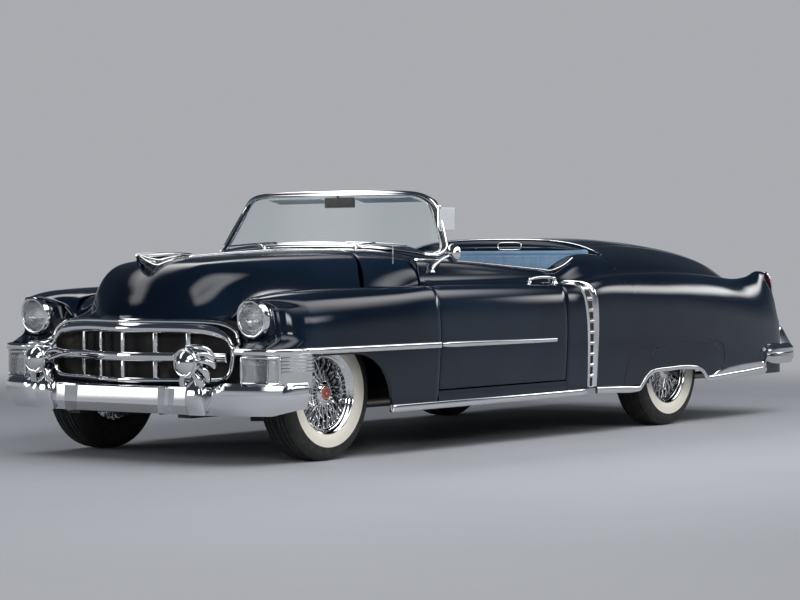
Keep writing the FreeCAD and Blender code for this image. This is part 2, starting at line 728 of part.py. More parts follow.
def tail_panel():
    """The plate under the trunk lid, the stays that hold it, and the two rests the lid shuts on."""
    plate = fuse(box(-784, 784, 4562, 4576, 400, 600), box(-530, 530, 4562, 4576, 598, 640))
    stays = [box(x, x + 60, 4480 + seam, 4563, 490, 550) for x in (-420, 360)]
    rests = []
    for x in (-330, 300):
        rests.append(box(x, x + 30, 4460, 4564, 590, 606))
        rests.append(box(x, x + 30, 4460, 4480, 590, 1000))
    below = [solid_section(shifted(deck_points(s), lid_thickness + 0.8), place(s), [(500, 300), (-500, 300)])
             for s in (4330, 4430, 4510, 4556)]
    under_lid = fuse(loft(below), box(-600, 600, 4555, 4570, 300, 700))
    return fuse(plate, *stays, fuse(*rests).common(under_lid))


def tail_lamps():
    lamp = rounded_prism([(856, 760), (856, 926), (892, 926), (900, 760)], "xz", 4560 + seam, 4592, 0.35)
    return both(lamp)


fender_clearance = 1.0      # between the rear bumper's ends and the body side


def rear_bumper():
    outer = [(1014, 4215), (1010, 4380), (992, 4540), (940, 4650), (850, 4708), (600, 4726), (300, 4728)]
    outer = outer + [(-x, y) for x, y in reversed(outer)]
    edges = strip_edges(outer, shifted(outer, -bumper_thickness), 0.4)
    blade = Part.Face(curved_wire(edges, "xs", rear_blade_z[0]))
    blade = blade.extrude(Vector(0, 0, rear_blade_z[1] - rear_blade_z[0]))
    guard = rounded_prism([(800, 330), (800, 560), (900, 590), (945, 560), (960, 330)], "xz", 4580, 4690, 0.3)
    brackets = [box(x, x + 60, 4576 + seam, 4690, 400, 450) for x in (-420, 360)]
    wires = []
    for s in (4050, 4230, 4330, 4430, 4510, 4560):
        outline = shifted(rear_points(s)[1], -fender_clearance)
        wires.append(solid_section(outline, place(s), [(700, sill_z), (500, 500)]))
    fenders = loft(wires)
    whole = fuse(blade, guard, mirror(guard), *brackets).cut(fenders).cut(mirror(fenders))
    return whole.cut(plate_holes(4600, 4740, rear_plate_z))


# ---------------------------------------------------------------- glass and cockpit
glass_base = [(-812, 1078), (-770, 940), (-420, 872), (420, 872), (770, 940), (812, 1078)]
glass_head = [(-652, 1152), (-620, 1100), (-320, 1064), (320, 1064), (620, 1100), (652, 1152)]
glass_base_z = 1070.0
glass_head_z = 1392.0


def glass_plan(z, t):
    """Outline of the windscreen at height z, t thick, as a closed wire."""
    k = (z - glass_base_z) / (glass_head_z - glass_base_z)
    middle = [(a[0] + (b[0] - a[0]) * k, a[1] + (b[1] - a[1]) * k) for a, b in zip(glass_base, glass_head)]
    outer = shifted(middle, t / 2)
    return curved_wire(strip_edges(outer, shifted(outer, -t), 0.45), "xs", z)


glass_edge = [(-775, 1040), (-640, 1362), (-400, 1374), (400, 1374), (640, 1362), (775, 1040), (700, 1078),
              (400, 1106), (-400, 1106), (-700, 1078)]
frame_edge = [(-840, 980), (-840, 1060), (-690, 1372), (-640, 1392), (-400, 1402), (0, 1404), (400, 1402),
              (640, 1392), (690, 1372), (840, 1060), (840, 980)]


def windscreen_frame():
    band = loft([glass_plan(1000, 30), glass_plan(1420, 30)], True)
    band = band.common(prism(frame_edge, "xz", 700, 1400))
    band = band.cut(prism(glass_edge, "xz", 700, 1400))
    band = band.cut(hood_core(cowl_stations, 800))
    beside_door = box(door_inner_x - gap, 1000, 700, 1400, 900, 1024)
    return band.cut(fuse(beside_door, mirror(beside_door)))


def windscreen_glass():
    pane = loft([glass_plan(1000, glass_thickness), glass_plan(1420, glass_thickness)], True)
    return pane.common(prism(inset(glass_edge, seat_gap), "xz", 700, 1400))


def dashboard():
    profile = [(905, 880), (905, 990), (1010, 1000), (1060, 985), (1068, 930), (1040, 880)]
    face = prism(profile, "sz", -dash_half_width, dash_half_width)
    column_z = steering_z - (place(steering_s) - place(1000)) * math.tan(math.radians(column_tilt))
    bracket = box(column_x - 25, column_x + 25, 980, 1020, column_z + 16, 885)
    column_room = slanted(column_radius + seat_gap, 0, column_length)
    return fuse(face, bracket).cut(column_room).cut(hood_skin(cowl_stations, skin))


column_x = 400.0
column_tilt = 30.0
steering_s = 1290.0
steering_z = 911.0
steering_radius = 215.0
column_radius = 28.0
column_length = 700.0
pin_radius = 10.0
dash_half_width = 755.6


def slanted(radius, start, end):
    """A cylinder on the steering axis between two distances below the wheel's centre."""
    way = Vector(0, -math.cos(math.radians(column_tilt)), -math.sin(math.radians(column_tilt)))
    centre = Vector(column_x, place(steering_s), steering_z)
    return Part.makeCylinder(radius, end - start, centre + way * start, way)


def steering_column():
    return fuse(slanted(column_radius, 40, column_length - 50), slanted(pin_radius, 5, 60))


def steering_wheel():
    way = Vector(0, -math.cos(math.radians(column_tilt)), -math.sin(math.radians(column_tilt)))
    centre = Vector(column_x, place(steering_s), steering_z)
    ring = Part.makeTorus(steering_radius, 12, centre, way)
    hub = slanted(34, -8, 36)
    spoke_start = centre - Vector(steering_radius - 5, 0, 0)
    spokes = Part.makeCylinder(10, 2 * steering_radius - 10, spoke_start, Vector(1, 0, 0))
    return fuse(ring, hub, spokes).cut(slanted(pin_radius + bore_clearance, 4, 40))


def floor_pan():
    sheet = box(-740, 740, 702 + seam, cockpit_back_s, 335 + seam, 345)
    humps = [(tunnel_half_width, 702 + seam, 1290, tunnel_top), (70, 1280, cockpit_back_s, 425)]
    for half, s0, s1, top in humps:
        sheet = fuse(sheet, box(-half - 8, half + 8, s0, s1, 336, top))
    for half, s0, s1, top in humps:
        sheet = sheet.cut(box(-half, half, s0 - 1, s1 - 8 if half > 100 else s1 + 1, 300, top - 8))
    return sheet.cut(box(-62, 62, 1270, 1300, 300, 417))


def trunk_floor():
    sheet = box(-640, 640, 2695, 4561.5, kick_up_z + seam, kick_up_z + 9)
    made = [sheet]
    for side in (1, -1):
        at = (place(rear_axle_s), axle_z)
        dome = tube(tyre_radius + 75, 640 if side > 0 else -930, 930 if side > 0 else -640, at, "x")
        room = tube(tyre_radius + 65, 648 if side > 0 else -940, 940 if side > 0 else -648, at, "x")
        made.append(dome.cut(room).cut(box(-1000, 1000, 2600, 3800, -400, axle_z + axle_tube_radius + gap)))
    bulkhead = prism([(-740, 346), (740, 346), (740, 1014), (620, 1068), (-620, 1068), (-740, 1014)], "xz",
                     cockpit_back_s + seam, cockpit_back_s + 9)
    return fuse(*made, bulkhead.cut(box(-90, 90, 2600, 2800, 300, 430)))


def side_sills():
    sill = prism([(758.5, 328), (758.5, 300), (960, 236), (990, 236), (990, 274), (992, 328)],
                 "xz", 742, 1990)
    return both(sill.common(tube(door_reach + gap - seam, 200, 400, (hinge_x, place(door_front_s)), "z")))


def side_scoops():
    trim = prism([(2098, 886), (2186, 886), (2168, 284), (2156, 284)], "sz", 1000, overall_width / 2)
    return both(trim.cut(quarter_skin()))


def front_seat():
    cushion = rounded_prism([(1440, 432), (1440, 590), (1960, 560), (1960, 432)], "sz", -690, 690, 0.3)
    profile = [(1900, 540), (2010, 985), (2090, 985), (2040, 434), (1930, 434)]
    back = rounded_prism(profile, "sz", -690, 690, 0.25)
    legs = [box(x, x + 60, 1480, 1900, 345 + seat_gap, 440) for x in (-600, -300, 240, 540)]
    return fuse(cushion, back, *legs)


def rear_seat():
    cushion = rounded_prism([(2160, 434), (2150, 560), (2560, 540), (2560, 434)], "sz", -735, 735, 0.3)
    profile = [(2500, 500), (2580, 1048), (2680, 1048), (2680, 434), (2520, 434)]
    back = rounded_prism(profile, "sz", -735, 735, 0.25)
    legs = [box(x, x + 60, 2200, 2660, 345 + seat_gap, 440) for x in (-600, -300, 240, 540)]
    return fuse(cushion, back, *legs)


def hood_ornament():
    body = loft([Part.Wire([edge_of(e, place(s)) for e in outline_of(w, z0, z1)])
                 for s, w, z0, z1 in ornament_table])
    return body.cut(hood_core(hood_stations))


# Ornament sections: station, half width, bottom z, top z
ornament_table = [(-520, 6, 1044, 1066), (-440, 40, 1020, 1078), (-300, 60, 1034, 1100),
                  (-110, 8, 1046, 1062)]


def outline_of(w, z0, z1):
    ends = [(-w, z0), (-w * 0.5, (z0 + z1) / 2), (0, z1), (w * 0.5, (z0 + z1) / 2), (w, z0)]
    return [("line", ends[i], ends[(i + 1) % 5]) for i in range(5)]


# ---------------------------------------------------------------- write every piece
fender = front_fender()
quarter_left = quarter()
door_left = door()
keep("hood", hood())
keep("cowl", cowl())
keep("front_fenders", both(fender))
keep("door_left", door_left)
keep("door_right", mirror(door_left))
keep("rear_quarters", both(quarter_left))
keep("fender_skirts", both(skirt()))
keep("boot_cover", boot_cover())
keep("rear_deck", rear_deck())
keep("trunk_lid", trunk_lid())
keep("chassis_frame", chassis_frame())
keep("engine_block", engine_block())
keep("driveline", driveline())
keep("rear_axle", rear_axle())
keep("exhaust", exhaust())
keep("fuel_tank", fuel_tank())
keep("front_suspension", front_suspension())
left_knuckle = knuckle()
keep("knuckle_left", left_knuckle)
keep("knuckle_right", mirror(left_knuckle))
for where, s, track in (("front", 0, front_track), ("rear", rear_axle_s, rear_track)):
    for hand, side in (("left", 1), ("right", -1)):
        keep(f"tyre_{where}_{hand}", tyre(side * track / 2, s))
        keep(f"rim_{where}_{hand}", rim(side * track / 2, s))
keep("radiator", radiator())
keep("inner_fenders", inner_fenders())
keep("firewall", firewall())
keep("grille", grille())
keep("front_bumper", front_bumper())
keep("headlights", headlights())
keep("parking_lamps", parking_lamps(fender))
keep("tail_panel", tail_panel())
keep("tail_lamps", tail_lamps())
keep("rear_bumper", rear_bumper())
keep("windscreen_frame", windscreen_frame())
keep("windscreen_glass", windscreen_glass())
keep("dashboard", dashboard())
keep("steering_column", steering_column())
keep("steering_wheel", steering_wheel())
keep("floor_pan", floor_pan())
keep("trunk_floor", trunk_floor())
keep("side_sills", side_sills())
keep("side_scoops", side_scoops())
keep("front_seat", front_seat())
keep("rear_seat", rear_seat())
keep("hood_ornament", hood_ornament())
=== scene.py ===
import bpy
import math
from mathutils import Matrix, Vector


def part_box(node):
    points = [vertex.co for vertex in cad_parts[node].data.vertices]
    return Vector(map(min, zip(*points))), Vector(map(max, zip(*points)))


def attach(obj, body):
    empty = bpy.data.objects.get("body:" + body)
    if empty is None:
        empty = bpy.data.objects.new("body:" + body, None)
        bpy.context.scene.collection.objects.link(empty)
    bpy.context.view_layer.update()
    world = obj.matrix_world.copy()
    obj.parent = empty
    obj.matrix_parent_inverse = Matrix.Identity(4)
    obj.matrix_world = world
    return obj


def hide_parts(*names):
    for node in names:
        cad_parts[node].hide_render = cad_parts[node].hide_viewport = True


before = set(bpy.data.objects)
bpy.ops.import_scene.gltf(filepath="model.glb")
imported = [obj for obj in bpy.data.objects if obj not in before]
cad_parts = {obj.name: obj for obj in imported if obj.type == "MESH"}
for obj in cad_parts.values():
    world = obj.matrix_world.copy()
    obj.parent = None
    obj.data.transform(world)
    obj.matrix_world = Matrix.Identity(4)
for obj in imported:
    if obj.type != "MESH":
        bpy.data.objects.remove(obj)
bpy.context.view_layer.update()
bpy.ops.object.select_all(action="DESELECT")
print("frame loaded")

mm = 0.001
xAxis, yAxis, zAxis = Vector((1, 0, 0)), Vector((0, 1, 0)), Vector((0, 0, 1))
frontAxleY = sum(corner.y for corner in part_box("tyre_front_left")) / 2
rearAxleY = sum(corner.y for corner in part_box("tyre_rear_left")) / 2
axleZ = sum(corner.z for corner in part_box("tyre_front_left")) / 2
frontWheelX = sum(corner.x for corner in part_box("tyre_front_left")) / 2
rearWheelX = sum(corner.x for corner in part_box("tyre_rear_left")) / 2


def at(x, s, z):                          # millimetres, s behind the front axle, to a place in the frame
    return Vector((x * mm, s * mm + frontAxleY, z * mm))


class Wire:                               # one socket, with the sums that a pattern needs
    def __init__(self, finish, socket):
        self.finish, self.socket = finish, socket

    def sum(self, operation, *others, clamp=False):
        settings = {"operation": operation, "use_clamp": clamp}
        return self.finish.node("ShaderNodeMath", settings, [self, *others])

    def __rsub__(self, other):
        return (self * -1) + other

    def rise(self, start, end):           # 0 before start, 1 after end, smooth between
        settings = {"interpolation_type": "SMOOTHSTEP"}
        return self.finish.node("ShaderNodeMapRange", settings,
                                {"Value": self, "From Min": start, "From Max": end})

    def band(self, start, end, soft):     # 1 between start and end
        return self.rise(start - soft, start + soft) * (1 - self.rise(end - soft, end + soft))


sums = {"__add__": "ADD", "__radd__": "ADD", "__sub__": "SUBTRACT", "__mul__": "MULTIPLY",
        "__rmul__": "MULTIPLY", "__truediv__": "DIVIDE", "__pow__": "POWER", "__gt__": "GREATER_THAN",
        "__lt__": "LESS_THAN", "__abs__": "ABSOLUTE", "sine": "SINE", "top": "MAXIMUM"}
for method, operation in sums.items():
    setattr(Wire, method, lambda self, *others, operation=operation: self.sum(operation, *others))


class Nodes:                              # the node tree of a finish, a lamp or the air
    def __init__(self, tree):
        self.tree = tree

    def node(self, kind, settings=None, values=None, out=0):
        made = self.tree.nodes.new(kind)
        for key, value in (settings or {}).items():
            if key == "stops":
                while len(made.color_ramp.elements) < len(value):
                    made.color_ramp.elements.new(0.5)
                for element, (place, colour) in zip(made.color_ramp.elements, value):
                    element.position = place
                    element.color = (*colour, 1)
            else:
                setattr(made, key, value)
        named = values.items() if isinstance(values, dict) else enumerate(values or [])
        for key, value in named:
            self.join(made.inputs[key], value)
        return Wire(self, made.outputs[out])

    def join(self, socket, value):
        if isinstance(value, Wire):
            self.tree.links.new(value.socket, socket)
        else:
            socket.default_value = value

    def split(self, vector):
        parts = self.tree.nodes.new("ShaderNodeSeparateXYZ")
        self.join(parts.inputs[0], vector)
        return [Wire(self, out) for out in parts.outputs]

    def noise(self, vector, scale, detail=3.0, rough=0.5):
        return self.node("ShaderNodeTexNoise", None,
                         {"Vector": vector, "Scale": scale, "Detail": detail, "Roughness": rough})

    def mix(self, factor, one, two):      # colours
        one, two = [(*c, 1) if isinstance(c, tuple) and len(c) == 3 else c for c in (one, two)]
        made = self.tree.nodes.new("ShaderNodeMix")
        made.data_type = "RGBA"
        for socket, value in ((made.inputs[0], factor), (made.inputs[6], one), (made.inputs[7], two)):
            self.join(socket, value)
        return Wire(self, made.outputs[2])


class Finish(Nodes):                      # a material and its one principled shader
    def __init__(self, name):
        self.material = bpy.data.materials.new(name)
        self.material.use_nodes = True
        super().__init__(self.material.node_tree)
        self.shader = self.tree.nodes["Principled BSDF"]

    def set(self, **values):              # BaseColor=..., CoatWeight=... on the shader's own sockets
        for key, value in values.items():
            name = "".join(" " + c if c.isupper() else c for c in key).strip().replace("I O R", "IOR")
            if isinstance(value, tuple) and len(value) == 3 and name.endswith(("Color", "Tint")):
                value = (*value, 1)
            self.join(self.shader.inputs[name], value)

    def place(self, centre=(0, 0, 0), turn=(0, 0, 0), scale=(1, 1, 1)):
        coords = self.node("ShaderNodeTexCoord", None, None, 3)
        moved = self.node("ShaderNodeVectorMath", {"operation": "SUBTRACT"}, [coords, centre])
        return self.node("ShaderNodeMapping", None, {"Vector": moved, "Rotation": turn, "Scale": scale})

    def bump(self, height, distance, strength=1.0):
        return self.node("ShaderNodeBump", None, {"Height": height, "Distance": distance,
                                                  "Strength": strength})


def gloss(name, colour, deep, flake=0.0):             # lacquered body colour
    f = Finish(name)
    where = f.place()
    cloud = f.noise(where, 1.7, 2)
    speck = f.noise(where, 2400, 1)
    tone = f.mix(cloud.rise(0.3, 0.7), deep, colour)
    f.set(BaseColor=f.mix(speck.rise(0.62, 0.72) * flake, tone, tuple(c * 2.4 for c in colour)))
    dust = f.noise(where, 38, 5, 0.6)
    f.set(Roughness=0.16 + dust.rise(0.5, 0.8) * 0.07, SpecularIORLevel=0.05)
    f.set(CoatWeight=1.0, CoatRoughness=0.02, CoatIOR=1.38)
    f.set(Normal=f.bump(f.noise(where, 260, 2), 0.00004, 0.25))     # faint orange peel
    return f.material


def chromePlate(name, tint=(0.80, 0.81, 0.82), rough=0.05):
    f = Finish(name)
    where = f.place()
    smear = f.noise(where, 9, 4, 0.6)
    haze = f.noise(where, 70, 3)
    f.set(BaseColor=f.mix(smear.rise(0.45, 0.8) * 0.35, tint, tuple(c * 0.82 for c in tint)))
    f.set(Metallic=1.0, Roughness=rough + smear.rise(0.5, 0.8) * 0.05 + haze.rise(0.6, 0.8) * 0.02)
    f.set(Normal=f.bump(f.noise(where, 14, 2), 0.0006, 0.12))
    return f.material


def satinMetal(name, colour, rough, metal=0.0, grain=90, dirt=(0.10, 0.085, 0.07)):
    f = Finish(name)
    where = f.place()
    patch = f.noise(where, 6, 5, 0.65)
    fine = f.noise(where, grain, 4, 0.6)
    f.set(BaseColor=f.mix(patch.rise(0.48, 0.75) * 0.5, colour, dirt))
    f.set(Metallic=metal, Roughness=rough + fine * 0.2)
    f.set(Normal=f.bump(fine, 0.0008, 0.4))
    return f.material


paintValues = {"colour": (0.0045, 0.0115, 0.024), "deep": (0.002, 0.0055, 0.012)}
bodyPaint = gloss("body_paint", paintValues["colour"], paintValues["deep"], 0.5)
chrome = chromePlate("bright_chrome")
brightTrim = chromePlate("bright_trim", (0.74, 0.75, 0.76), 0.12)
darkMetal = satinMetal("chassis_black", (0.018, 0.018, 0.018), 0.5)
castMetal = satinMetal("cast_iron_grey", (0.11, 0.11, 0.11), 0.55, 0.4, 140)
innerBlack = satinMetal("inner_black", (0.006, 0.006, 0.007), 0.7)
print("first finishes made")


def deselect():
    bpy.ops.object.select_all(action="DESELECT")


def named(name, finish, body, slot):
    piece = bpy.context.object
    piece.name = piece.data.name = name
    piece.data.materials.clear()
    piece.data.materials.append(finish)
    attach(piece, body)
    return piece


def edit(action, piece, *calls):                      # run operators on the whole mesh in edit mode
    deselect()
    bpy.context.view_layer.objects.active = piece
    piece.select_set(True)
    bpy.ops.object.mode_set(mode="EDIT")
    bpy.ops.mesh.select_all(action=action)
    for call, options in calls:
        call(**options)
    bpy.ops.object.mode_set(mode="OBJECT")


def apply(piece, kind, **settings):
    deselect()
    bpy.context.view_layer.objects.active = piece
    piece.select_set(True)
    modifier = piece.modifiers.new(kind.title(), kind)
    for key, value in settings.items():
        setattr(modifier, key, value)
    bpy.ops.object.modifier_apply(modifier=modifier.name)


def smooth(piece, angle=35):
    deselect()
    bpy.context.view_layer.objects.active = piece
    piece.select_set(True)
    bpy.ops.object.shade_smooth_by_angle(angle=math.radians(angle))


def outward(piece, inside):                           # turn the faces so that they look away from inside
    mesh = piece.data
    total = sum((face.center - inside).dot(face.normal) * face.area for face in mesh.polygons)
    if total < 0:
        edit("SELECT", piece, (bpy.ops.mesh.flip_normals, {}))


def sheet(across, along, placed, merge=True):    # a grid whose points placed(u, v) puts, u and v from 0 to 1
    deselect()
    bpy.ops.mesh.primitive_grid_add(x_subdivisions=across, y_subdivisions=along, size=2)
    piece = bpy.context.object
    for vertex in piece.data.vertices:
        vertex.co = placed((vertex.co.x + 1) / 2, (vertex.co.y + 1) / 2)
    if merge:
        edit("SELECT", piece, (bpy.ops.mesh.remove_doubles, {"threshold": 0.00005}),
             (bpy.ops.mesh.normals_make_consistent, {"inside": False}))
    return piece


def lathe(profile, centre, axis="X", segments=64, sweepAngle=360):    # turned: (along, radius) in metres
    steps = len(profile) - 1
    def placed(u, v):
        along, radius = profile[round(u * steps)]
        turn = math.radians(sweepAngle) * v
        c, s = radius * math.cos(turn), radius * math.sin(turn)
        return centre + Vector({"X": (along, c, s), "Y": (c, along, s), "Z": (c, s, along)}[axis])
    return sheet(steps, segments, placed)


def frames(path, up):                     # point, side and up at each point of a path
    out = []
    for i, point in enumerate(path):
        ahead = path[min(i + 1, len(path) - 1)] - path[max(i - 1, 0)]
        ahead.normalize()
        side = ahead.cross(up)
        side.normalize()
        out.append((point, side, side.cross(ahead)))
    return out


def sweep(path, profile, up=zAxis, sizes=None, closed=False):    # a closed (side, up) profile along a path
    places = frames(path, up)
    if sizes is None:
        sizes = [1] * len(path)
    m = len(profile)
    if closed:
        places, sizes = places + places[:1], list(sizes) + list(sizes[:1])
    rows = [(p, s * k, w * k) for (p, s, w), k in zip(places, sizes)]
    if not closed:
        first, last = [(p, s * 0, w * 0) for p, s, w in (rows[0], rows[-1])]
        rows = [first, *rows, last]
    def placed(u, v):
        point, side, rise = pick(rows, v)
        a, b = profile[round(u * m) % m]
        return point + side * a + rise * b
    return sheet(m, len(rows) - 1, placed)


def ring(radius, sides, squash=1.0):
    return [(radius * math.cos(2 * math.pi * k / sides), radius * squash * math.sin(2 * math.pi * k / sides))
            for k in range(sides)]


def curve(points, steps):                 # a smooth line through points, steps to a span
    points = [Vector(p) for p in points]
    ends = [points[0] * 2 - points[1], *points, points[-1] * 2 - points[-2]]
    out = []
    for i in range(1, len(ends) - 2):
        a, b, c, d = ends[i - 1:i + 3]
        for k in range(steps):
            t = k / steps
            out.append(0.5 * ((2 * b) + (c - a) * t + (2 * a - 5 * b + 4 * c - d) * t * t
                              + (3 * b - a - 3 * c + d) * t ** 3))
    return out + [points[-1]]


def join(pieces):
    deselect()
    for piece in pieces:
        piece.select_set(True)
    bpy.context.view_layer.objects.active = pieces[0]
    bpy.ops.object.join()
    return bpy.context.object


def mirrored(piece):                                  # a copy on the other side of the car
    deselect()
    piece.select_set(True)
    bpy.context.view_layer.objects.active = piece
    bpy.ops.object.duplicate()
    copy = bpy.context.object
    for vertex in copy.data.vertices:
        vertex.co.x = -vertex.co.x
    edit("SELECT", copy, (bpy.ops.mesh.flip_normals, {}))
    return copy


def block(low, high, bevel=0.0, segments=2):
    deselect()
    low, high = Vector(low), Vector(high)
    bpy.ops.mesh.primitive_cube_add(size=1, location=(low + high) / 2)
    piece = bpy.context.object
    piece.scale = high - low
    bpy.ops.object.transform_apply(location=True, rotation=True, scale=True)
    if bevel:
        apply(piece, "BEVEL", width=bevel, segments=segments)
    return piece


hoodTable = [
    (-634, 734, 130, 731, 195, 728, 250, 725),
    (-615, 806, 236, 792, 300, 744, 400, 727),
    (-580, 878, 292, 863, 362, 752, 480, 731),
    (-530, 937, 326, 921, 396, 762, 545, 734),
    (-460, 990, 344, 970, 412, 782, 572, 748),
    (-360, 1024, 354, 1000, 424, 832, 600, 806),
    (-200, 1041, 366, 1014, 456, 872, 632, 842),
    (50, 1056, 390, 1030, 520, 910, 668, 856),
    (300, 1068, 450, 1040, 620, 938, 724, 866),
    (560, 1079, 540, 1052, 735, 972, 800, 872),
    (745, 1086, 600, 1060, 846, 1008, 868, 878),
    (900, 1090, 620, 1062, 848, 1007, 872, 880),
    (1200, 1092, 620, 1058, 848, 996, 876, 881)]
sideTable = [
    (-520, 566, 722, 666, 838, 862, 838, 894, 706, 905, 880),
    (-420, 590, 772, 690, 858, 900, 852, 962, 722, 966, 935),
    (-300, 620, 826, 715, 872, 920, 864, 984, 735, 990, 965),
    (0, 668, 856, 760, 886, 940, 874, 1000, 750, 1006, 982),
    (400, 762, 872, 816, 890, 955, 876, 1003, 756, 1009, 985),
    (745, 874, 880, 900, 890, 968, 876, 1004, 760, 1010, 985),
    (1300, 880, 882, 906, 888, 972, 874, 1004, 758, 1010, 985),
    (1946, 886, 878, 910, 882, 974, 868, 1003, 752, 1009, 985)]
beltTable = [(700, 1022), (1000, 1015), (1260, 1003), (1600, 981), (1946, 957)]
rearTable = [
    (1900, 958, 700, 957, 846, 948, 886, 878, 910, 882, 974, 868, 1003, 752, 1009, 985),
    (2070, 952, 700, 951, 846, 942, 886, 878, 910, 882, 976, 868, 1004, 754, 1010, 986),
    (2160, 985, 700, 982, 844, 970, 885, 886, 908, 890, 980, 876, 1008, 764, 1012, 988),
    (2277, 1036, 692, 1028, 836, 1008, 881, 904, 903, 910, 982, 898, 1010, 782, 1013, 989),
    (2450, 1096, 660, 1072, 822, 1020, 874, 920, 896, 928, 974, 914, 1011, 796, 1014, 989),
    (2700, 1134, 620, 1096, 808, 1008, 866, 926, 890, 936, 964, 920, 1011, 800, 1014, 989),
    (3050, 1146, 580, 1106, 780, 1004, 852, 926, 878, 936, 952, 918, 1010, 796, 1014, 989),
    (3400, 1132, 550, 1094, 756, 990, 836, 916, 866, 928, 938, 908, 1004, 784, 1012, 988),
    (3750, 1100, 540, 1066, 726, 962, 818, 892, 854, 908, 924, 888, 994, 762, 1008, 984),
    (4050, 1052, 540, 1022, 702, 920, 800, 850, 846, 886, 908, 868, 978, 738, 1000, 978),
    (4230, 1004, 540, 975, 690, 872, 792, 820, 846, 902, 900, 888, 966, 724, 992, 972),
    (4330, 962, 540, 932, 684, 826, 790, 790, 850, 932, 894, 920, 958, 716, 986, 968),
    (4430, 888, 540, 858, 680, 752, 790, 730, 852, 930, 892, 920, 950, 706, 978, 964),
    (4510, 790, 540, 765, 676, 690, 790, 660, 854, 925, 890, 915, 940, 700, 968, 960),
    (4560, 690, 540, 672, 674, 630, 790, 610, 856, 920, 888, 912, 932, 700, 960, 955)]

seams = {"gap": 6.0, "sill": 272.0, "doorBottom": 334.0, "doorFront": 745.0, "doorBack": 1940.0,
         "hingeX": 1010.0, "hoodCentre": -180.0, "hoodRadius": 940.0, "bootFront": 2696.0, "bootBack": 3330.0,
         "trunkFront": 3606.0, "trunkBack": 4556.0}
doorReach = seams["doorBack"] - seams["doorFront"]


def row(table, s):                        # table values at station s, cubic between rows
    if s <= table[0][0]:
        return list(table[0][1:])
    if s >= table[-1][0]:
        return list(table[-1][1:])
    k = max(i for i in range(len(table) - 1) if table[i][0] <= s)
    a, b = table[k], table[k + 1]
    h = b[0] - a[0]
    t = (s - a[0]) / h
    out = []
    for c in range(1, len(a)):
        slope = (b[c] - a[c]) / h
        before = (a[c] - table[k - 1][c]) / (a[0] - table[k - 1][0]) if k else slope
        after = (table[k + 2][c] - b[c]) / (table[k + 2][0] - b[0]) if k + 2 < len(table) else slope
        ma = 0 if before * slope <= 0 else 2 * before * slope / (before + slope)
        mb = 0 if after * slope <= 0 else 2 * after * slope / (after + slope)
        out.append((2 * t**3 - 3 * t**2 + 1) * a[c] + (t**3 - 2 * t**2 + t) * h * ma
                   + (3 * t**2 - 2 * t**3) * b[c] + (t**3 - t**2) * h * mb)
    return out


noseBow = [(0, 0), (90, 11), (190, 38), (280, 68), (360, 92), (450, 108), (560, 114), (640, 104), (690, 60),
           (735, 0)]


def bowed(x):                             # how far the nose is drawn back at plan distance x
    return row(noseBow, abs(x))[0]


def bowNose(piece):
    for vertex in piece.data.vertices:
        x, s = vertex.co.x / mm, (vertex.co.y - frontAxleY) / mm
        if s < -120:
            vertex.co.y += bowed(min(abs(x), 600)) * min(1, (-120 - s) / 514) ** 1.2 * mm


rowStore = {}


def softRow(table, s):                    # row() averaged over a short stretch
    key = (id(table), round(s, 1))
    if key not in rowStore:
        reach = max(0.0, min(45.0, s - table[0][0], table[-1][0] - s))
        parts = [row(table, s + k * reach) for k in (-1, -0.5, 0, 0.5, 1)]
        rowStore[key] = [sum(part[i] * 0.2 for part in parts) for i in range(len(parts[0]))]
    return rowStore[key]


def clamp(value):
    return min(1, max(0, value))


def pick(line, share):                    # the item at a share of the way along, by count
    return line[round(share * (len(line) - 1))]


def rowAt(v, rows):                       # which row of a shut form share v belongs to
    return min(max(round(v * (len(rows) + 1)) - 1, 0), len(rows) - 1)


def pairs(values):
    return [(values[i], values[i + 1]) for i in range(0, len(values), 2)]


def hoodCorners(s):
    top, *rest = softRow(hoodTable, s)
    shoulder, hip, foot = pairs(rest)
    return [(0, top), (0.55 * shoulder[0], top), shoulder, hip, foot]


def sideCorners(s, sill=seams["sill"]):
    *upper, sideX, sillX = softRow(sideTable, s)
    return pairs(upper) + [(sideX, 560), (sillX, sill)]


def rearCorners(s):
    top, *rest = softRow(rearTable, s)
    *upper, sideX, sillX = rest
    return top, pairs(upper) + [(sideX, 560), (sillX, seams["sill"])]


def profile(corners, steps=7):            # corners softened into a line, steps to each bend
    out = [corners[0]]
    for i in range(1, len(corners) - 1):
        p, q, r = [Vector(corners[j]) for j in (i - 1, i, i + 1)]
        a = q.lerp(p, 0.5 if i > 1 else 0.8)
        b = q.lerp(r, 0.5 if i < len(corners) - 2 else 0.8)
        for k in range(0 if i == 1 else 1, steps + 1):
            t = k / steps
            out.append(tuple((1 - t) ** 2 * a + 2 * t * (1 - t) * q + t * t * b))
    out.append(corners[-1])
    return out


def full(half):
    return [(-x, z) for x, z in reversed(half) if x > 0] + [(x, z) for x, z in half if x > 0]


def along(line, t):                       # the point a share t of the way along, by count
    f = t * (len(line) - 1)
    i = min(int(f), len(line) - 2)
    a, b = line[i], line[i + 1]
    return a[0] + (b[0] - a[0]) * (f - i), a[1] + (b[1] - a[1]) * (f - i)


def fallsTo(line, z):                     # where a side line last falls to height z, as a count of points
    k = max(i for i in range(len(line) - 1) if line[i][1] > z)
    a, b = line[k], line[k + 1]
    return k + min(1, (a[1] - z) / ((a[1] - b[1]) or 1))


def stretch(line, start, end, count=None):    # part of a line between two counts of its points
    if count is None:
        inner = [line[i] for i in range(math.floor(start) + 1, math.ceil(end))]
        return [along(line, start / (len(line) - 1)), *inner, along(line, end / (len(line) - 1))]
    return [along(line, (start + (end - start) * k / count) / (len(line) - 1)) for k in range(count + 1)]


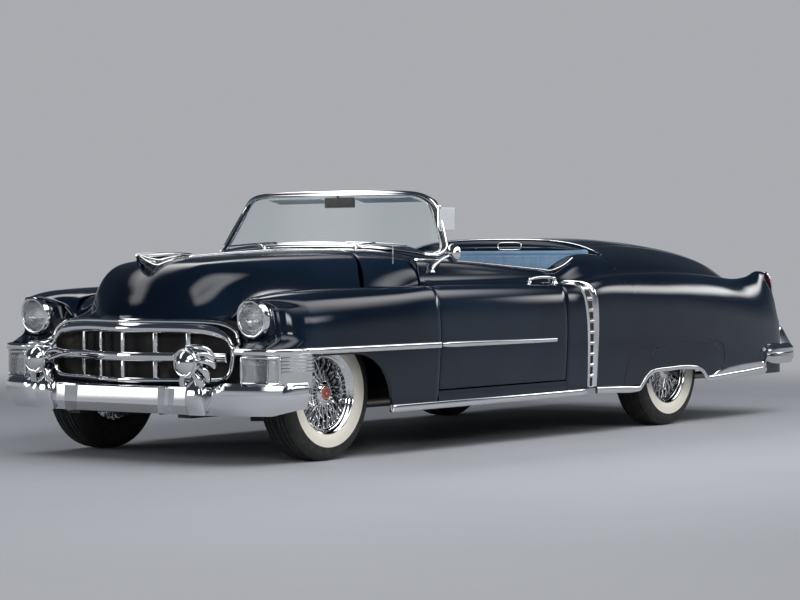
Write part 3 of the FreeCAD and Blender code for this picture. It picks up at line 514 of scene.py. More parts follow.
def clipped(line, lowest, first=0.0, upper=36, lower=12):    # a side line from a count down to a height
    turn = fallsTo(line, 700)
    below = stretch(line, turn, fallsTo(line, lowest))
    return stretch(line, first, turn, upper)[:-1] + resampled(below, lower)


def panel(name, sections, starts, ends, across, stations, thickness, body, node=None, warp=lambda v: v,
          inside=(0, 0, 0.5)):            # a skin: sections(s) is its line, starts(x) and ends(x) its edges
    def placed(u, v):
        s = 0.5 * (starts(0) + ends(0))
        for _ in range(4):
            x, z = along(sections(s), u)
            s = starts(abs(x)) + (ends(abs(x)) - starts(abs(x))) * warp(v)
        x, z = along(sections(s), u)
        return at(x, s, z)
    piece = sheet(across, stations, placed, merge=False)
    outward(piece, Vector(inside))
    apply(piece, "SOLIDIFY", thickness=thickness * mm, offset=-1.0)
    apply(piece, "BEVEL", width=0.0025, segments=2, limit_method="ANGLE", angle_limit=math.radians(50))
    smooth(piece, 40)
    named(name, bodyPaint, body, "paint")
    if node:
        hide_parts(*node)
    return piece


profileStore = {}


def stored(kind, make, s):
    key = (kind, round(s, 1))
    if key not in profileStore:
        profileStore[key] = make(s)
    return profileStore[key]


def hoodLine(s):
    return stored("hood", lambda s: full(profile(hoodCorners(s), 12)), s)


def hoodBack(x, radius=seams["hoodRadius"]):
    return seams["hoodCentre"] + math.sqrt(radius ** 2 - min(x, radius) ** 2)


def fenderLow(s):                         # lower edge of the front fender, with the wheel opening
    front, top, back = -306, 17, 344
    if s < front:
        return 404
    if s < top:
        return 548 - 10 * max(0, (-250 - s) / 56)
    if s < back:
        return 229 + 319 * math.sqrt(max(0, 1 - ((s - top) / 330) ** 2))
    return seams["sill"]


def fenderLine(s):
    def make(s):
        foot = hoodCorners(s)[-1]
        line = profile([(foot[0] + 7.5, foot[1] + 1), *sideCorners(s)[1:]], 12)
        return clipped(line, max(seams["sill"] + 0.01, fenderLow(s)), 0, 44)
    return stored("fender", make, s)


def doorLine(s):
    def make(s):
        top = row(beltTable, s)[0]
        corners = [(804, top - 3), (824, top), (846, top - 14), (862, 905)] + sideCorners(s)[1:]
        return clipped(profile(corners, 12), seams["doorBottom"], 0, 44)
    return stored("door", make, s)


def bodyLine(s):                          # the whole rear section, middle of the deck to the sill
    def make(s):
        top, corners = rearCorners(s)
        return profile([(0, top), (0.55 * corners[0][0], top), *corners], 12)
    return stored("body", make, s)


def resampled(line, count):
    lengths = [0]
    for a, b in zip(line, line[1:]):
        lengths.append(lengths[-1] + math.dist(a, b))
    out, k = [], 0
    for i in range(count + 1):
        want = lengths[-1] * i / count
        while k < len(line) - 2 and lengths[k + 1] < want:
            k += 1
        span = lengths[k + 1] - lengths[k] or 1
        t = min(1, (want - lengths[k]) / span)
        out.append((line[k][0] + (line[k + 1][0] - line[k][0]) * t,
                    line[k][1] + (line[k + 1][1] - line[k][1]) * t))
    return out


def splitAt(line, x):                     # a section out to plan distance x, and the rest
    k = next(i for i in range(1, len(line)) if line[i][0] >= x)
    a, b = line[k - 1], line[k]
    t = (x - a[0]) / ((b[0] - a[0]) or 1)
    cut = (x, a[1] + (b[1] - a[1]) * t)
    return line[:k] + [cut], [cut] + line[k:]


def deckEdge(s):
    return rearCorners(s)[1][0][0]


def deckLine(s, inset=0.0):
    def make(s):
        inner = splitAt(bodyLine(s), deckEdge(s) - inset)[0]
        return full(resampled(inner, 26))
    return stored(("deck", inset), make, s)


def deckHeight(s, x):
    half = bodyLine(s)
    for a, b in zip(half, half[1:]):
        if a[0] <= x <= b[0] and a[0] != b[0]:
            return a[1] + (b[1] - a[1]) * (x - a[0]) / (b[0] - a[0])
    return half[0][1]


skirtTop = [(2826, 250), (2846, 430), (2880, 487), (3590, 494), (3650, 440), (3700, 250)]
wheelTop = [(2720, 232), (2790, 290), (2874, 344), (3200, 352), (3400, 340), (3457, 315), (3500, 272)]


def heightOn(outline, s, otherwise):
    for (s0, z0), (s1, z1) in zip(outline, outline[1:]):
        if s0 <= s <= s1:
            return z0 + (z1 - z0) * (s - s0) / (s1 - s0)
    return otherwise


def quarterLine(s):
    def make(s):
        edge = max(deckEdge(s), 744) if s < 2691 else deckEdge(s)
        line = bodyLine(s)
        k = next(i for i in range(1, len(line)) if line[i][0] >= edge)
        first = k - 1 + (edge - line[k - 1][0]) / ((line[k][0] - line[k - 1][0]) or 1)
        low = max(seams["sill"] + 0.01, heightOn(skirtTop, s, seams["sill"]))
        return clipped(line, low, first, 54)
    return stored("quarter", make, s)


def skirtLine(s):
    def make(s):
        line = bodyLine(s)
        top = max(heightOn(skirtTop, s, 272), 273.5) - 1
        low = max(seams["sill"] + 0.01, heightOn(wheelTop, s, 272))
        return resampled(stretch(line, fallsTo(line, top), fallsTo(line, min(low, top - 1))), 16)
    return stored("skirt", make, s)


def shares(stations):
    span = stations[-1] - stations[0]
    return lambda v: (pick(stations, v) - stations[0]) / span


def spaced(start, end, step, *extra):
    count = round((end - start) / step)
    return sorted({round(start + (end - start) * k / count, 2) for k in range(count + 1)} | set(extra))


def paintedPanels():
    nose = [-634, -628, -621, -613, -604, -594, -583, -570, -555, -538, -520]
    stations = nose + spaced(-495, 760, 31)
    hood = panel("hood", hoodLine, lambda x: -634, hoodBack, 75, len(stations) - 1, 15, "hood", ["hood"],
                 shares(stations), (0, -0.9, 0.4))
    bowNose(hood)

    def cowlEnd(x):
        edge = [(0, 915), (380, 915), (640, 985), (700, 1075), (900, 1075)]
        return next(a[1] + (b[1] - a[1]) * (x - a[0]) / (b[0] - a[0])
                    for a, b in zip(edge, edge[1:]) if x <= b[0])
    cowl = panel("cowl", lambda s: full(resampled([p for p in hoodLine(s) if p[0] >= 0], 48)),
                 lambda x: hoodBack(x, seams["hoodRadius"] + seams["gap"]), cowlEnd, 96, 22, 12, "body",
                 ["cowl"])
    for side in (1, -1):
        cutter = block(at(784 if side > 0 else -1200, 733, 700), at(1200 if side > 0 else -784, 1300, 1300))
        apply(cowl, "BOOLEAN", object=cutter, operation="DIFFERENCE", solver="EXACT")
        bpy.data.objects.remove(cutter)
    smooth(cowl, 30)

    fenderStations = spaced(-520, -306, 18) + [-305.5] + spaced(-290, 344, 17, 17) + spaced(362, 739, 27)
    for side in (1, -1):
        made = panel("front_fender", fenderLine, lambda x: -520, lambda x: 739, 56, len(fenderStations) - 1,
                     12, "body", ["front_fenders"] if side > 0 else None, shares(fenderStations),
                     (0.5, -1.8, 0.3))
        leanNose(made)
        if side < 0:
            flip(made)
    for side in (1, -1):
        nose = podFace()
        leanNose(nose)
        web = noseFill()
        if side < 0:
            flip(nose)
            flip(web)

    for side, name in ((1, "door_left"), (-1, "door_right")):
        loopStations = spaced(745, 1940, 33)
        def placed(u, v, n=62):
            k = rowAt(v, loopStations)
            def loop(s):
                line = doorLine(s)
                top = row(beltTable, s)[0]
                return line + [(890, 334), (790, 334), (790, 600), (790, top - 18), (797, top - 8), line[0]]
            points = loop(loopStations[k])
            i = round(u * n)
            x, z = points[min(i, len(points) - 1)]
            reach = seams["doorFront"] + math.sqrt(doorReach ** 2 - (seams["hingeX"] - x) ** 2)
            first = seams["doorFront"]
            s = first + (loopStations[k] - first) / doorReach * (reach - first)
            if v == 0 or v == 1:
                x, z = 900, 620
            return at(x, s, z)
        door = sheet(62, len(loopStations) + 1, placed)
        apply(door, "BEVEL", width=0.004, segments=3, limit_method="ANGLE", angle_limit=math.radians(55))
        smooth(door, 40)
        named(name + "_skin", bodyPaint, name, "paint")
        if side < 0:
            flip(door)
        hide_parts(name)

    quarterStations = [*spaced(1940, 2690, 30), 2696, *spaced(2720, 2820, 25), 2825, 2827, 2846, 2862, 2880,
                       *spaced(2910, 3590, 34), 3610, 3630, 3650, 3675, 3698, 3701, *spaced(3730, 4200, 31),
                       *spaced(4222, 4560, 17)]
    for side in (1, -1):
        made = panel("rear_quarter", quarterLine,
                     lambda x: 1940 - (1010 - x) ** 2 / 2400 + 6 if x < 1010 else 1946, lambda x: 4560, 66,
                     len(quarterStations) - 1, 12, "body", ["rear_quarters"] if side > 0 else None,
                     shares(quarterStations), (0.5, 1.3, 0.4))
        leanFin(made)
        if side < 0:
            flip(made)
        back = finCap()
        if side < 0:
            flip(back)
    skirtStations = [2828, 2832, 2846, 2862, 2880] + spaced(2910, 3590, 34) + [3610, 3630, 3650, 3675, 3692]
    for side in (1, -1):
        made = panel("fender_skirt", skirtLine, lambda x: 2828, lambda x: 3692, 16, len(skirtStations) - 1, 8,
                     "body", ["fender_skirts"] if side > 0 else None, shares(skirtStations), (0.5, 1.3, 0.4))
        if side < 0:
            flip(made)
    panel("boot_cover", lambda s: deckLine(s, 1), lambda x: seams["bootFront"], lambda x: seams["bootBack"],
          52, 22, 12, "body", ["boot_cover"])
    panel("rear_deck", lambda s: deckLine(s, 1), lambda x: seams["bootBack"] + seams["gap"],
          lambda x: seams["trunkFront"] - seams["gap"], 52, 10, 12, "body", ["rear_deck"])
    panel("trunk_lid", lambda s: deckLine(s, 6), lambda x: seams["trunkFront"], lambda x: seams["trunkBack"],
          52, 44, 16, "trunk", ["trunk_lid"])
    print("painted panels made")


def finBackAt(z, x=957):                  # the fin's sloping rear edge, drawn forward towards its outer side
    slant = 90 - 80 * clamp((z - 630) / 275)
    out = clamp((x - 790) / 150)
    return 4560 - 142 * clamp((z - 595) / 310) ** 1.15 - slant * out ** 1.5


def leanFin(piece):
    for vertex in piece.data.vertices:
        x, s, z = vertex.co.x / mm, (vertex.co.y - frontAxleY) / mm, vertex.co.z / mm
        if s > 4200 and x > 790:
            share = ((s - 4200) / 360) ** 1.5 * min(1, (x - 790) / 60)
            vertex.co.y -= (4560 - finBackAt(z, x)) * share * mm


def finCap():
    def placed(u, v):
        z = 300 + 614 * v
        inner = 792 + 66 * (z - 610) / 310 if z > 610 else 780
        outer = 957 if z < 560 else 958 - 28 * (z - 560) / 140 if z < 700 else 930 - 42 * (z - 700) / 212
        bulge = 5 * math.sin(math.pi * u)
        x = inner + (outer - 3 - inner) * u
        return at(x, finBackAt(z, x) - 2 + bulge, z)
    cap = sheet(12, 40, placed)
    outward(cap, at(876, 4300, 600))
    apply(cap, "SOLIDIFY", thickness=0.003, offset=-1.0)
    smooth(cap, 40)
    return named("fin_back", bodyPaint, "body", "paint")


def leanNose(piece):                      # draws the fender front back round the headlight, under a brow
    for vertex in piece.data.vertices:
        x, s, z = abs(vertex.co.x) / mm, (vertex.co.y - frontAxleY) / mm, vertex.co.z / mm
        if s > -300:
            continue
        out = clamp((x - 640) / 200)
        rise = clamp((z - 585) / 60)
        low = bowed(x) if x < 735 else 0
        brow = 1 - 0.85 * clamp((z - 795) / 40)
        fade = min(1, (-300 - s) / 200)
        vertex.co.y += (low + ((98 - 10 * out) * brow - low) * rise * rise * (3 - 2 * rise)) * fade * mm


def noseFill():                           # painted web between the hood edge, the lip moulding and fender
    low = curve([(246, -626, 722), (350, -619, 720), (450, -607, 716), (520, -597, 711), (560, -590, 704),
                 (600, -582, 690), (622, -576, 676), (640, -573, 650), (652, -572, 628), (668, -572, 606)], 4)
    high = curve([(246, -630, 728), (350, -618, 729), (455, -588, 730), (520, -548, 734), (548, -512, 735),
                  (575, -512, 733), (606, -514, 766), (628, -532, 742), (642, -548, 700), (656, -552, 640)],
                  4)
    n = len(low) - 1
    def placed(u, v):
        a, b = low[round(u * n)], high[round(u * n)]
        p = a.lerp(b, v)
        return at(p.x, p.y + bowed(p.x), p.z + 5 * math.sin(math.pi * v))
    web = sheet(n, 6, placed)
    outward(web, at(500, -300, 500))
    apply(web, "SOLIDIFY", thickness=0.003, offset=-1.0)
    smooth(web, 40)
    return named("nose_web", bodyPaint, "body", "paint")


def flip(piece):                                      # to the other side of the car
    for vertex in piece.data.vertices:
        vertex.co.x = -vertex.co.x
    edit("SELECT", piece, (bpy.ops.mesh.flip_normals, {}))
    return piece


def podFace():                            # the rounded front of a fender, round the headlight
    centre = (767, 736)
    outline = [(606, 404), (606, 700)] + [p for p in fenderLine(-520) if p[0] > 640]
    outline = resampled(outline + [outline[0]], 160)
    def ray(angle):
        way = (math.cos(angle), math.sin(angle))
        for a, b in zip(outline, outline[1:]):
            ax, az, bx, bz = a[0] - centre[0], a[1] - centre[1], b[0] - centre[0], b[1] - centre[1]
            cross = way[0] * (bz - az) - way[1] * (bx - ax)
            if abs(cross) < 1e-9:
                continue
            reach = (ax * (bz - az) - az * (bx - ax)) / cross
            t = (ax * way[1] - az * way[0]) / cross
            if reach > 0 and 0 <= t <= 1:
                return reach
        return 110
    radii = [ray(2 * math.pi * k / 96) for k in range(96)]
    def placed(u, v):
        k = round(u * 96) % 96
        angle, radius, step = 2 * math.pi * k / 96, radii[k], round(v * 10)
        bend = min(step, 6) / 6 * math.pi / 2
        r = radius - 26 * (1 - math.cos(bend))
        s = -520 - 34 * math.sin(bend)
        if step > 6:
            share = (step - 6) / 4
            r, s = r + (100 - r) * share, s - 6 * share
        return at(centre[0] + r * math.cos(angle), s, centre[1] + r * math.sin(angle))
    face = sheet(96, 10, placed)
    outward(face, at(767, -300, 700))
    apply(face, "SOLIDIFY", thickness=0.006, offset=-1.0)
    smooth(face, 40)
    return named("fender_nose", bodyPaint, "body", "paint")


paintedPanels()


def tyreFinish(name, centre, side):
    f = Finish(name)
    x, y, z = f.split(f.place(centre))
    radius = (y * y + z * z) ** 0.5
    outer = (x * side).rise(0.045, 0.05)
    white = radius.band(0.2115, 0.2755, 0.0008) * outer
    where = f.place()
    grime = f.noise(where, 22, 5, 0.65)
    fine = f.noise(where, 320, 2)
    rubber = f.mix(grime.rise(0.4, 0.75), (0.012, 0.012, 0.012), (0.035, 0.033, 0.031))
    cream = f.mix(grime.rise(0.5, 0.85) * 0.5, (0.80, 0.76, 0.66), (0.62, 0.57, 0.47))
    f.set(BaseColor=f.mix(white, rubber, cream), Roughness=0.62 + fine * 0.15 - white * 0.12)
    turn = f.node("ShaderNodeMath", {"operation": "ARCTAN2"}, [y, z])
    sipes = ((turn * 96 + (x * 420).sine() * 1.4).sine()).rise(-0.9, -0.6)
    tread = radius.rise(0.3375, 0.3395)
    ribs = ((radius * 900).sine()) * (1 - tread) * 0.12
    f.set(Normal=f.bump(sipes * tread + ribs + fine * 0.1, 0.0022, 0.9))
    return f.material


wheelValues = {"spokes": 24, "spokeRadius": 0.0021, "spokeLean": 0.30, "nipple": 0.014}


def wheelFor(where, hand, body):
    side = 1 if hand == "left" else -1
    wheelX, wheelY = (frontWheelX, frontAxleY) if where == "front" else (rearWheelX, rearAxleY)
    centre = Vector((wheelX * side, wheelY, axleZ))
    half = [(0.079, 0.2035), (0.086, 0.208), (0.0955, 0.222), (0.1005, 0.240), (0.1018, 0.262),
            (0.1014, 0.274), (0.1018, 0.2765), (0.1012, 0.279), (0.0995, 0.292), (0.0955, 0.310),
            (0.0895, 0.324), (0.081, 0.3345), (0.074, 0.3395), (0.0645, 0.3425)]
    groove = [(0.0640, 0.3365), (0.0570, 0.3368), (0.0565, 0.3432), (0.0395, 0.3442), (0.0390, 0.3375),
              (0.0320, 0.3377), (0.0315, 0.3446), (0.0125, 0.3450), (0.0120, 0.3382), (0.0040, 0.3382),
              (0.0035, 0.3450)]
    line = half + groove
    profileLine = [(-x, r) for x, r in line] + [(x, r) for x, r in reversed(line)]
    tyre = lathe(profileLine, centre, "X", 128)
    smooth(tyre, 32)
    named(f"tyre_{where}_{hand}_rubber", tyreFinish(f"rubber_{where}_{hand}", centre, side), body,
          "tyre_rubber")
    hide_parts(f"tyre_{where}_{hand}")

    def turned(rows, steps):
        return lathe([(x * side, r) for x, r in rows], centre, "X", steps)
    barrel = [(-0.085, 0.200), (-0.087, 0.2125), (-0.081, 0.2125), (-0.078, 0.193), (-0.030, 0.186),
              (-0.012, 0.176), (0.014, 0.174), (0.030, 0.182), (0.052, 0.1865), (0.060, 0.184),
              (0.066, 0.1865), (0.070, 0.1935), (0.076, 0.1955), (0.080, 0.2005), (0.0835, 0.2085),
              (0.0875, 0.2118), (0.0905, 0.2095), (0.0895, 0.2060), (0.0865, 0.2040)]
    inner = [(0.0855, 0.2015), (0.0815, 0.1985), (0.0775, 0.1925), (0.0705, 0.1900), (0.066, 0.1825),
             (0.060, 0.180), (0.052, 0.1825), (0.031, 0.178), (0.014, 0.170), (-0.012, 0.172),
             (-0.030, 0.182), (-0.078, 0.189)]
    pieces = [turned(barrel + inner + barrel[:1], 96)]
    shell = [(-0.010, 0.030), (-0.008, 0.074), (0.002, 0.078), (0.012, 0.076), (0.020, 0.068), (0.036, 0.060),
             (0.050, 0.0575), (0.058, 0.0595), (0.064, 0.0575), (0.068, 0.0500), (0.070, 0.0450),
             (0.0735, 0.0435), (0.0765, 0.0405), (0.0770, 0.0365), (0.0755, 0.0345)]
    pieces.append(turned(shell + [(0.060, 0.030), (-0.010, 0.030)], 64))

    count, thick, cross = [wheelValues[key] for key in ("spokes", "spokeRadius", "spokeLean")]
    def spoke(angle, lean, hub, rim):
        start = centre + Vector((hub[0] * side, hub[1] * math.cos(angle), hub[1] * math.sin(angle)))
        end = centre + Vector((rim[0] * side, rim[1] * math.cos(angle + lean),
                               rim[1] * math.sin(angle + lean)))
        made = [sweep([start, end], ring(thick, 6), xAxis)]
        nipple = end - (end - start).normalized() * wheelValues["nipple"]
        made.append(sweep([nipple, end], ring(thick * 1.8, 6), xAxis))
        return made
    for k in range(count):
        angle = 2 * math.pi * k / count
        for lean in (cross, -cross):
            pieces += spoke(angle + 0.02 * (1 if lean > 0 else -1), lean, (0.060, 0.057), (0.050, 0.1845))
            pieces += spoke(angle + math.pi / count, lean * 0.9, (0.006, 0.076), (0.012, 0.173))
    wheel = join(pieces)
    edit("SELECT", wheel, (bpy.ops.mesh.normals_make_consistent, {"inside": False}))
    smooth(wheel, 38)
    named(f"wire_wheel_{where}_{hand}", chrome, body, "wheel_metal")
    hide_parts(f"rim_{where}_{hand}")

    medal = [(0.070, 0.0002), (0.0792, 0.0002), (0.0790, 0.0120), (0.0782, 0.0230), (0.0768, 0.0345),
             (0.070, 0.0345)]
    badge = turned(medal, 48)
    smooth(badge, 40)
    named(f"hub_disc_{where}_{hand}", hubRed(centre), body, "wheel_metal")
    drum = [(-0.074, 0.02), (-0.074, 0.146), (-0.030, 0.148), (-0.012, 0.144), (-0.010, 0.120),
            (-0.006, 0.076), (-0.006, 0.02)]
    brake = turned(drum, 64)
    smooth(brake, 35)
    named(f"brake_drum_{where}_{hand}", castMetal, body, "wheel_metal")


def hubRed(centre):
    f = Finish("hub_red")
    y, z = f.split(f.place(centre))[1:]
    radius = (y * y + z * z) ** 0.5
    bright = radius.band(0.0262, 0.0290, 0.0004).top((radius < 0.0065))
    where = f.place()
    stain = f.noise(where, 90, 4)
    red = f.mix(stain.rise(0.4, 0.7), (0.42, 0.028, 0.018), (0.26, 0.016, 0.012))
    f.set(BaseColor=f.mix(bright, red, (0.72, 0.60, 0.36)), Metallic=bright, Roughness=0.22 + stain * 0.1,
          CoatWeight=0.8)
    f.set(Normal=f.bump(radius.band(0.0075, 0.0258, 0.0005), 0.0008, 0.6))
    return f.material


for where in ("front", "rear"):
    for hand in ("left", "right"):
        wheelFor(where, hand, f"wheel_{where}_{hand}")
print("wheels made")


def placedLine(points):
    return [at(*p) for p in points]


def bothSides(piece, name, finish, body, slot, *nodes, otherBody=None):
    named(name + "_left", finish, body, slot)
    other = mirrored(piece)
    named(name + "_right", finish, otherBody or body, slot)
    if nodes:
        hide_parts(*nodes)
    return piece, other


def sideX(s, z, line):                    # how far out a side section stands at height z
    points = [p for p in line(s) if p[0] > 860]
    found = [a[0] + (b[0] - a[0]) * (a[1] - z) / ((a[1] - b[1]) or 1) for a, b in zip(points, points[1:])
             if min(a[1], b[1]) <= z <= max(a[1], b[1])]
    if found:
        return max(found)
    return points[-1][0] if z < 600 else max(points, key=lambda p: p[1])[0]


def mirrorLine(half):                     # a line from the middle out, run from right to left
    return [(-p[0], *p[1:]) for p in reversed(half) if p[0] > 0] + half


def capsule(wide, high, count=16, power=0.6):
    out = []
    for k in range(count):
        c, s = math.cos(2 * math.pi * k / count), math.sin(2 * math.pi * k / count)
        out.append((wide * math.copysign(abs(c) ** power, c), high * math.copysign(abs(s) ** power, s)))
    return out


grilleValues = {"header": (0.026, 0.030), "lip": (0.011, 0.0085), "middle": (0.016, 0.024),
                "lower": (0.014, 0.014), "posts": (-368, -192, 0, 192, 368), "postHalf": 12}


def bowedLine(points):                    # a line drawn back with the nose
    return [at(p[0], p[1] + bowed(p[0]), p[2]) for p in points]


def grilleWork():
    header = curve(mirrorLine([(0, -628, 684), (250, -626, 684), (450, -620, 678), (540, -612, 662),
                               (600, -603, 632), (630, -598, 594), (668, -592, 577), (735, -588, 574)]), 8)
    sizes = [1.0 if abs(p[0]) < 520 else max(0.5, 1.0 - (abs(p[0]) - 520) / 190) for p in header]
    bar = sweep(bowedLine(header), capsule(*grilleValues["header"], 20, 0.75), Vector((0, -1, 0.2)), sizes)
    smooth(bar, 50)
    named("grille_header", chrome, "body", "chrome")
    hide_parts("grille")
    lip = curve(mirrorLine([(0, -630, 722), (260, -624, 721), (460, -606, 716), (560, -590, 704),
                            (628, -575, 672), (652, -572, 628), (684, -572, 600), (735, -580, 592)]), 8)
    made = sweep(bowedLine(lip), capsule(*grilleValues["lip"], 12), Vector((0, -1, 0.2)))
    smooth(made, 50)
    named("hood_lip_moulding", chrome, "body", "chrome")
    middle = sweep(bowedLine(curve(mirrorLine([(0, -634, 540), (300, -632, 540), (600, -616, 540)]), 10)),
                   capsule(*grilleValues["middle"], 16))
    lower = sweep(bowedLine(curve(mirrorLine([(0, -628, 420), (300, -626, 420), (540, -614, 424),
                                              (604, -600, 452), (626, -592, 520), (630, -590, 592)]), 8)),
                  capsule(*grilleValues["lower"], 16), Vector((0, -1, 0)))
    pieces = [middle, lower]
    for x in grilleValues["posts"]:
        back, wide = bowed(x), grilleValues["postHalf"]
        for low, high in ((558, 664), (426, 522)):
            post = block(at(x - wide, -634 + back, low), at(x + wide, -604 + back, high), 0.0065, 3)
            for vertex in post.data.vertices:
                vertex.co.y += (bowed(vertex.co.x / mm) - back) * mm
            pieces.append(post)
    bars = join(pieces)
    smooth(bars, 45)
    named("grille_bars", chrome, "body", "chrome")
    # a black sheet behind the bars that stands in for the shaded opening there: painted shade
    dark = sheet(40, 4, lambda u, v: at(-650 + 1300 * u, -570 + bowed(-650 + 1300 * u), 400 + 322 * v))
    apply(dark, "SOLIDIFY", thickness=0.004)
    smooth(dark, 40)
    named("grille_shade_sheet", innerBlack, "body", "dark_metal")
    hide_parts("radiator")
    apron = sheet(40, 10, lambda u, v: at(-760 + 1520 * u, -640 + 170 * v ** 0.8 + 50 * abs(2 * u - 1) ** 3,
                                          390 + 12 * v))
    apply(apron, "SOLIDIFY", thickness=0.003)
    smooth(apron)
    named("bumper_gravel_shield", bodyPaint, "body", "paint")
    core = [block(at(-330, -450, 350), at(330, -400, 690), 0.004),
            block(at(-338, -458, 686), at(338, -392, 716), 0.012, 3),
            lathe([(0, 0.0002), (0, 0.030), (0.010, 0.031), (0.014, 0.022), (0.015, 0.0002)],
                  at(0, -425, 715), "Z", 28)]
    core += [block(at(-330 + 22 * k, -456, 352), at(-326 + 22 * k, -449, 688), 0.0) for k in range(31)]
    whole = join(core)
    smooth(whole, 40)
    named("radiator_core", darkMetal, "body", "dark_metal")


bumperValues = {"wrap": [(0, -670), (160, -670), (312, -670), (328, -670), (344, -670), (450, -668),
                         (548, -664), (650, -655), (730, -642), (806, -618), (872, -586), (930, -540),
                         (972, -478), (992, -410), (998, -345)], "bulletX": 528, "bulletZ": 0.521}


def bladeSection(x, s):                   # the front bumper's section at plan distance x: outwards, height
    x = abs(x)
    end = clamp((x - 590) / 120)
    end = end * end * (3 - 2 * end)
    centre = 1 if x < 328 else max(0, 1 - (x - 328) / 16)
    dip = -14 * (1 - centre) * (1 - end)
    lift = 34 * max(0, (x - 930) / 72) ** 1.5
    tip = min(1, max(0.35, (1004 - x) / 50))
    flat = [(-44, 262), (-36, 256), (dip + 6, 303), (dip + 6, 304), (dip + 3, 345), (dip, 386),
            (dip - 5, 393), (-14, 396), (-30, 397), (-46, 396), (-50, 380), (-50, 300)]
    bulb = [(-46, 264 + lift), (-34, 257 + lift), (-6, 290 + lift), (-3, 296 + lift), (8, 326 + lift * 0.6),
            (15, 356), (12, 386), (1, 406), (-18, 419), (-38, 420), (-50, 404), (-50, 300)]
    return [(a[0] + (b[0] * tip - a[0]) * end, a[1] + (b[1] - a[1]) * end) for a, b in zip(flat, bulb)]


def bumperBlade(name, plan, section):
    points = curve([(x, s, 0) for x, s in plan], 7)
    line = [Vector((-p.x, p.y, 0)) for p in reversed(points) if p.x > 0.01] + points
    n = len(line)
    def placed(u, v):
        i = round(v * (n + 1)) - 1
        k = min(max(i, 0), n - 1)
        p = line[k]
        ahead = (line[min(k + 1, n - 1)] - line[max(k - 1, 0)]).normalized()
        outside = Vector((ahead.y, -ahead.x, 0))
        shape = section(p.x, p.y)
        a, z = shape[round(u * len(shape)) % len(shape)]
        if i != k:
            a, z = -25, 330
        spot = p + outside * a
        return at(spot.x, spot.y, z)
    blade = sheet(len(section(0, 0)), n + 1, placed)
    apply(blade, "BEVEL", width=0.0016, segments=2, limit_method="ANGLE", angle_limit=math.radians(58))
    smooth(blade, 20)
    return named(name, chrome, "body", "chrome")


def frontBumper():
    blade = bumperBlade("front_bumper_blade", bumperValues["wrap"], bladeSection)
    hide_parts("front_bumper")
    x0 = bumperValues["bulletX"]
    guardRows = [(257, 54, -40), (262, 57, -30), (300, 59, 12), (345, 58, 17), (386, 54, 14), (404, 48, 6),
                 (430, 40, -4), (465, 34, -12), (500, 30, -20)]
    def guard(u, v):
        k = min(max(round(v * 10) - 1, 0), 8)
        z, wide, deep = guardRows[k]
        turn = math.pi * u * 2
        a, b = math.cos(turn), math.sin(turn)
        grow = 0 if round(v * 10) in (0, 10) else 1
        depth = max(6, 26 + deep) if b > 0 else 20
        return at(x0 + wide * math.copysign(abs(a) ** 0.55, a) * grow,
                  -652 - depth * math.copysign(abs(b) ** 0.7, b) * grow, z)
    stem = [sheet(36, 10, guard)]
    nose = [(-0.780, 0.0002), (-0.7792, 0.008), (-0.7765, 0.018), (-0.7715, 0.029), (-0.764, 0.040),
            (-0.754, 0.050), (-0.743, 0.0575), (-0.7345, 0.0615), (-0.7325, 0.0630), (-0.7345, 0.0655),
            (-0.7400, 0.0685), (-0.7400, 0.0720), (-0.7340, 0.0748), (-0.724, 0.0750), (-0.716, 0.0725),
            (-0.713, 0.0685), (-0.700, 0.0675), (-0.690, 0.0700), (-0.672, 0.0710), (-0.650, 0.0680),
            (-0.628, 0.0610), (-0.606, 0.0500), (-0.590, 0.0360), (-0.584, 0.0002)]
    bullet = lathe(nose, Vector((x0 * mm, frontAxleY, bumperValues["bulletZ"])), "Y", 80)
    arms = []
    def arm(points, sizes, shape=(0.0085, 0.011)):
        line = curve(points, 6)
        n = len(line) - 1
        swell = [sizes[0] + (sizes[1] - sizes[0]) * math.sin(math.pi * min(1, k / n * 1.2) / 2)
                 for k in range(n + 1)]
        swell[-3:] = [swell[-3] * 0.9, swell[-3] * 0.7, swell[-3] * 0.35]
        arms.append(sweep(placedLine(line), capsule(*shape, 14), Vector((0.2, 0, 1)), swell))
    arm([(x0 - 20, -706, 598), (x0 + 34, -690, 602), (x0 + 76, -664, 590), (x0 + 104, -640, 560)], (0.7, 1.1))
    arm([(x0 + 52, -700, 566), (x0 + 84, -672, 562), (x0 + 104, -644, 540), (x0 + 96, -620, 515)], (0.8, 1.2))
    arm([(x0 + 62, -700, 530), (x0 + 92, -680, 528), (x0 + 112, -654, 512), (x0 + 112, -630, 490)],
        (0.8, 1.3))
    arm([(x0 + 62, -704, 500), (x0 + 88, -688, 480), (x0 + 92, -668, 452), (x0 + 78, -650, 428)], (0.8, 1.5),
        (0.010, 0.013))
    arm([(x0 + 34, -706, 462), (x0 + 52, -696, 440), (x0 + 60, -684, 418), (x0 + 62, -672, 402)], (1.0, 1.5),
        (0.012, 0.013))
    arm([(x0 - 40, -706, 462), (x0 - 54, -696, 440), (x0 - 60, -684, 418), (x0 - 62, -672, 402)], (1.0, 1.4),
        (0.012, 0.013))
    arm([(x0 - 60, -700, 560), (x0 - 92, -676, 566), (x0 - 124, -652, 556), (x0 - 160, -636, 551)],
        (0.8, 1.2))
    arm([(x0 - 64, -700, 520), (x0 - 92, -676, 534), (x0 - 124, -654, 546), (x0 - 168, -638, 551)],
        (0.8, 1.1))
    whole = join([bullet, *stem, *arms])
    smooth(whole, 45)
    bothSides(whole, "bumper_bullet", chrome, "body", "chrome")


def bezelRing(centre, profileLine, tilt, segments=80):    # a ring that faces forwards, leaning out at its top
    made = lathe(profileLine, Vector(), "Y", segments)
    for vertex in made.data.vertices:
        lift = max(0.0, vertex.co.z / 0.1)
        if vertex.co.y < -0.004:
            vertex.co.y -= tilt * lift * min(1.0, -vertex.co.y / 0.03)
        vertex.co += centre
    return made


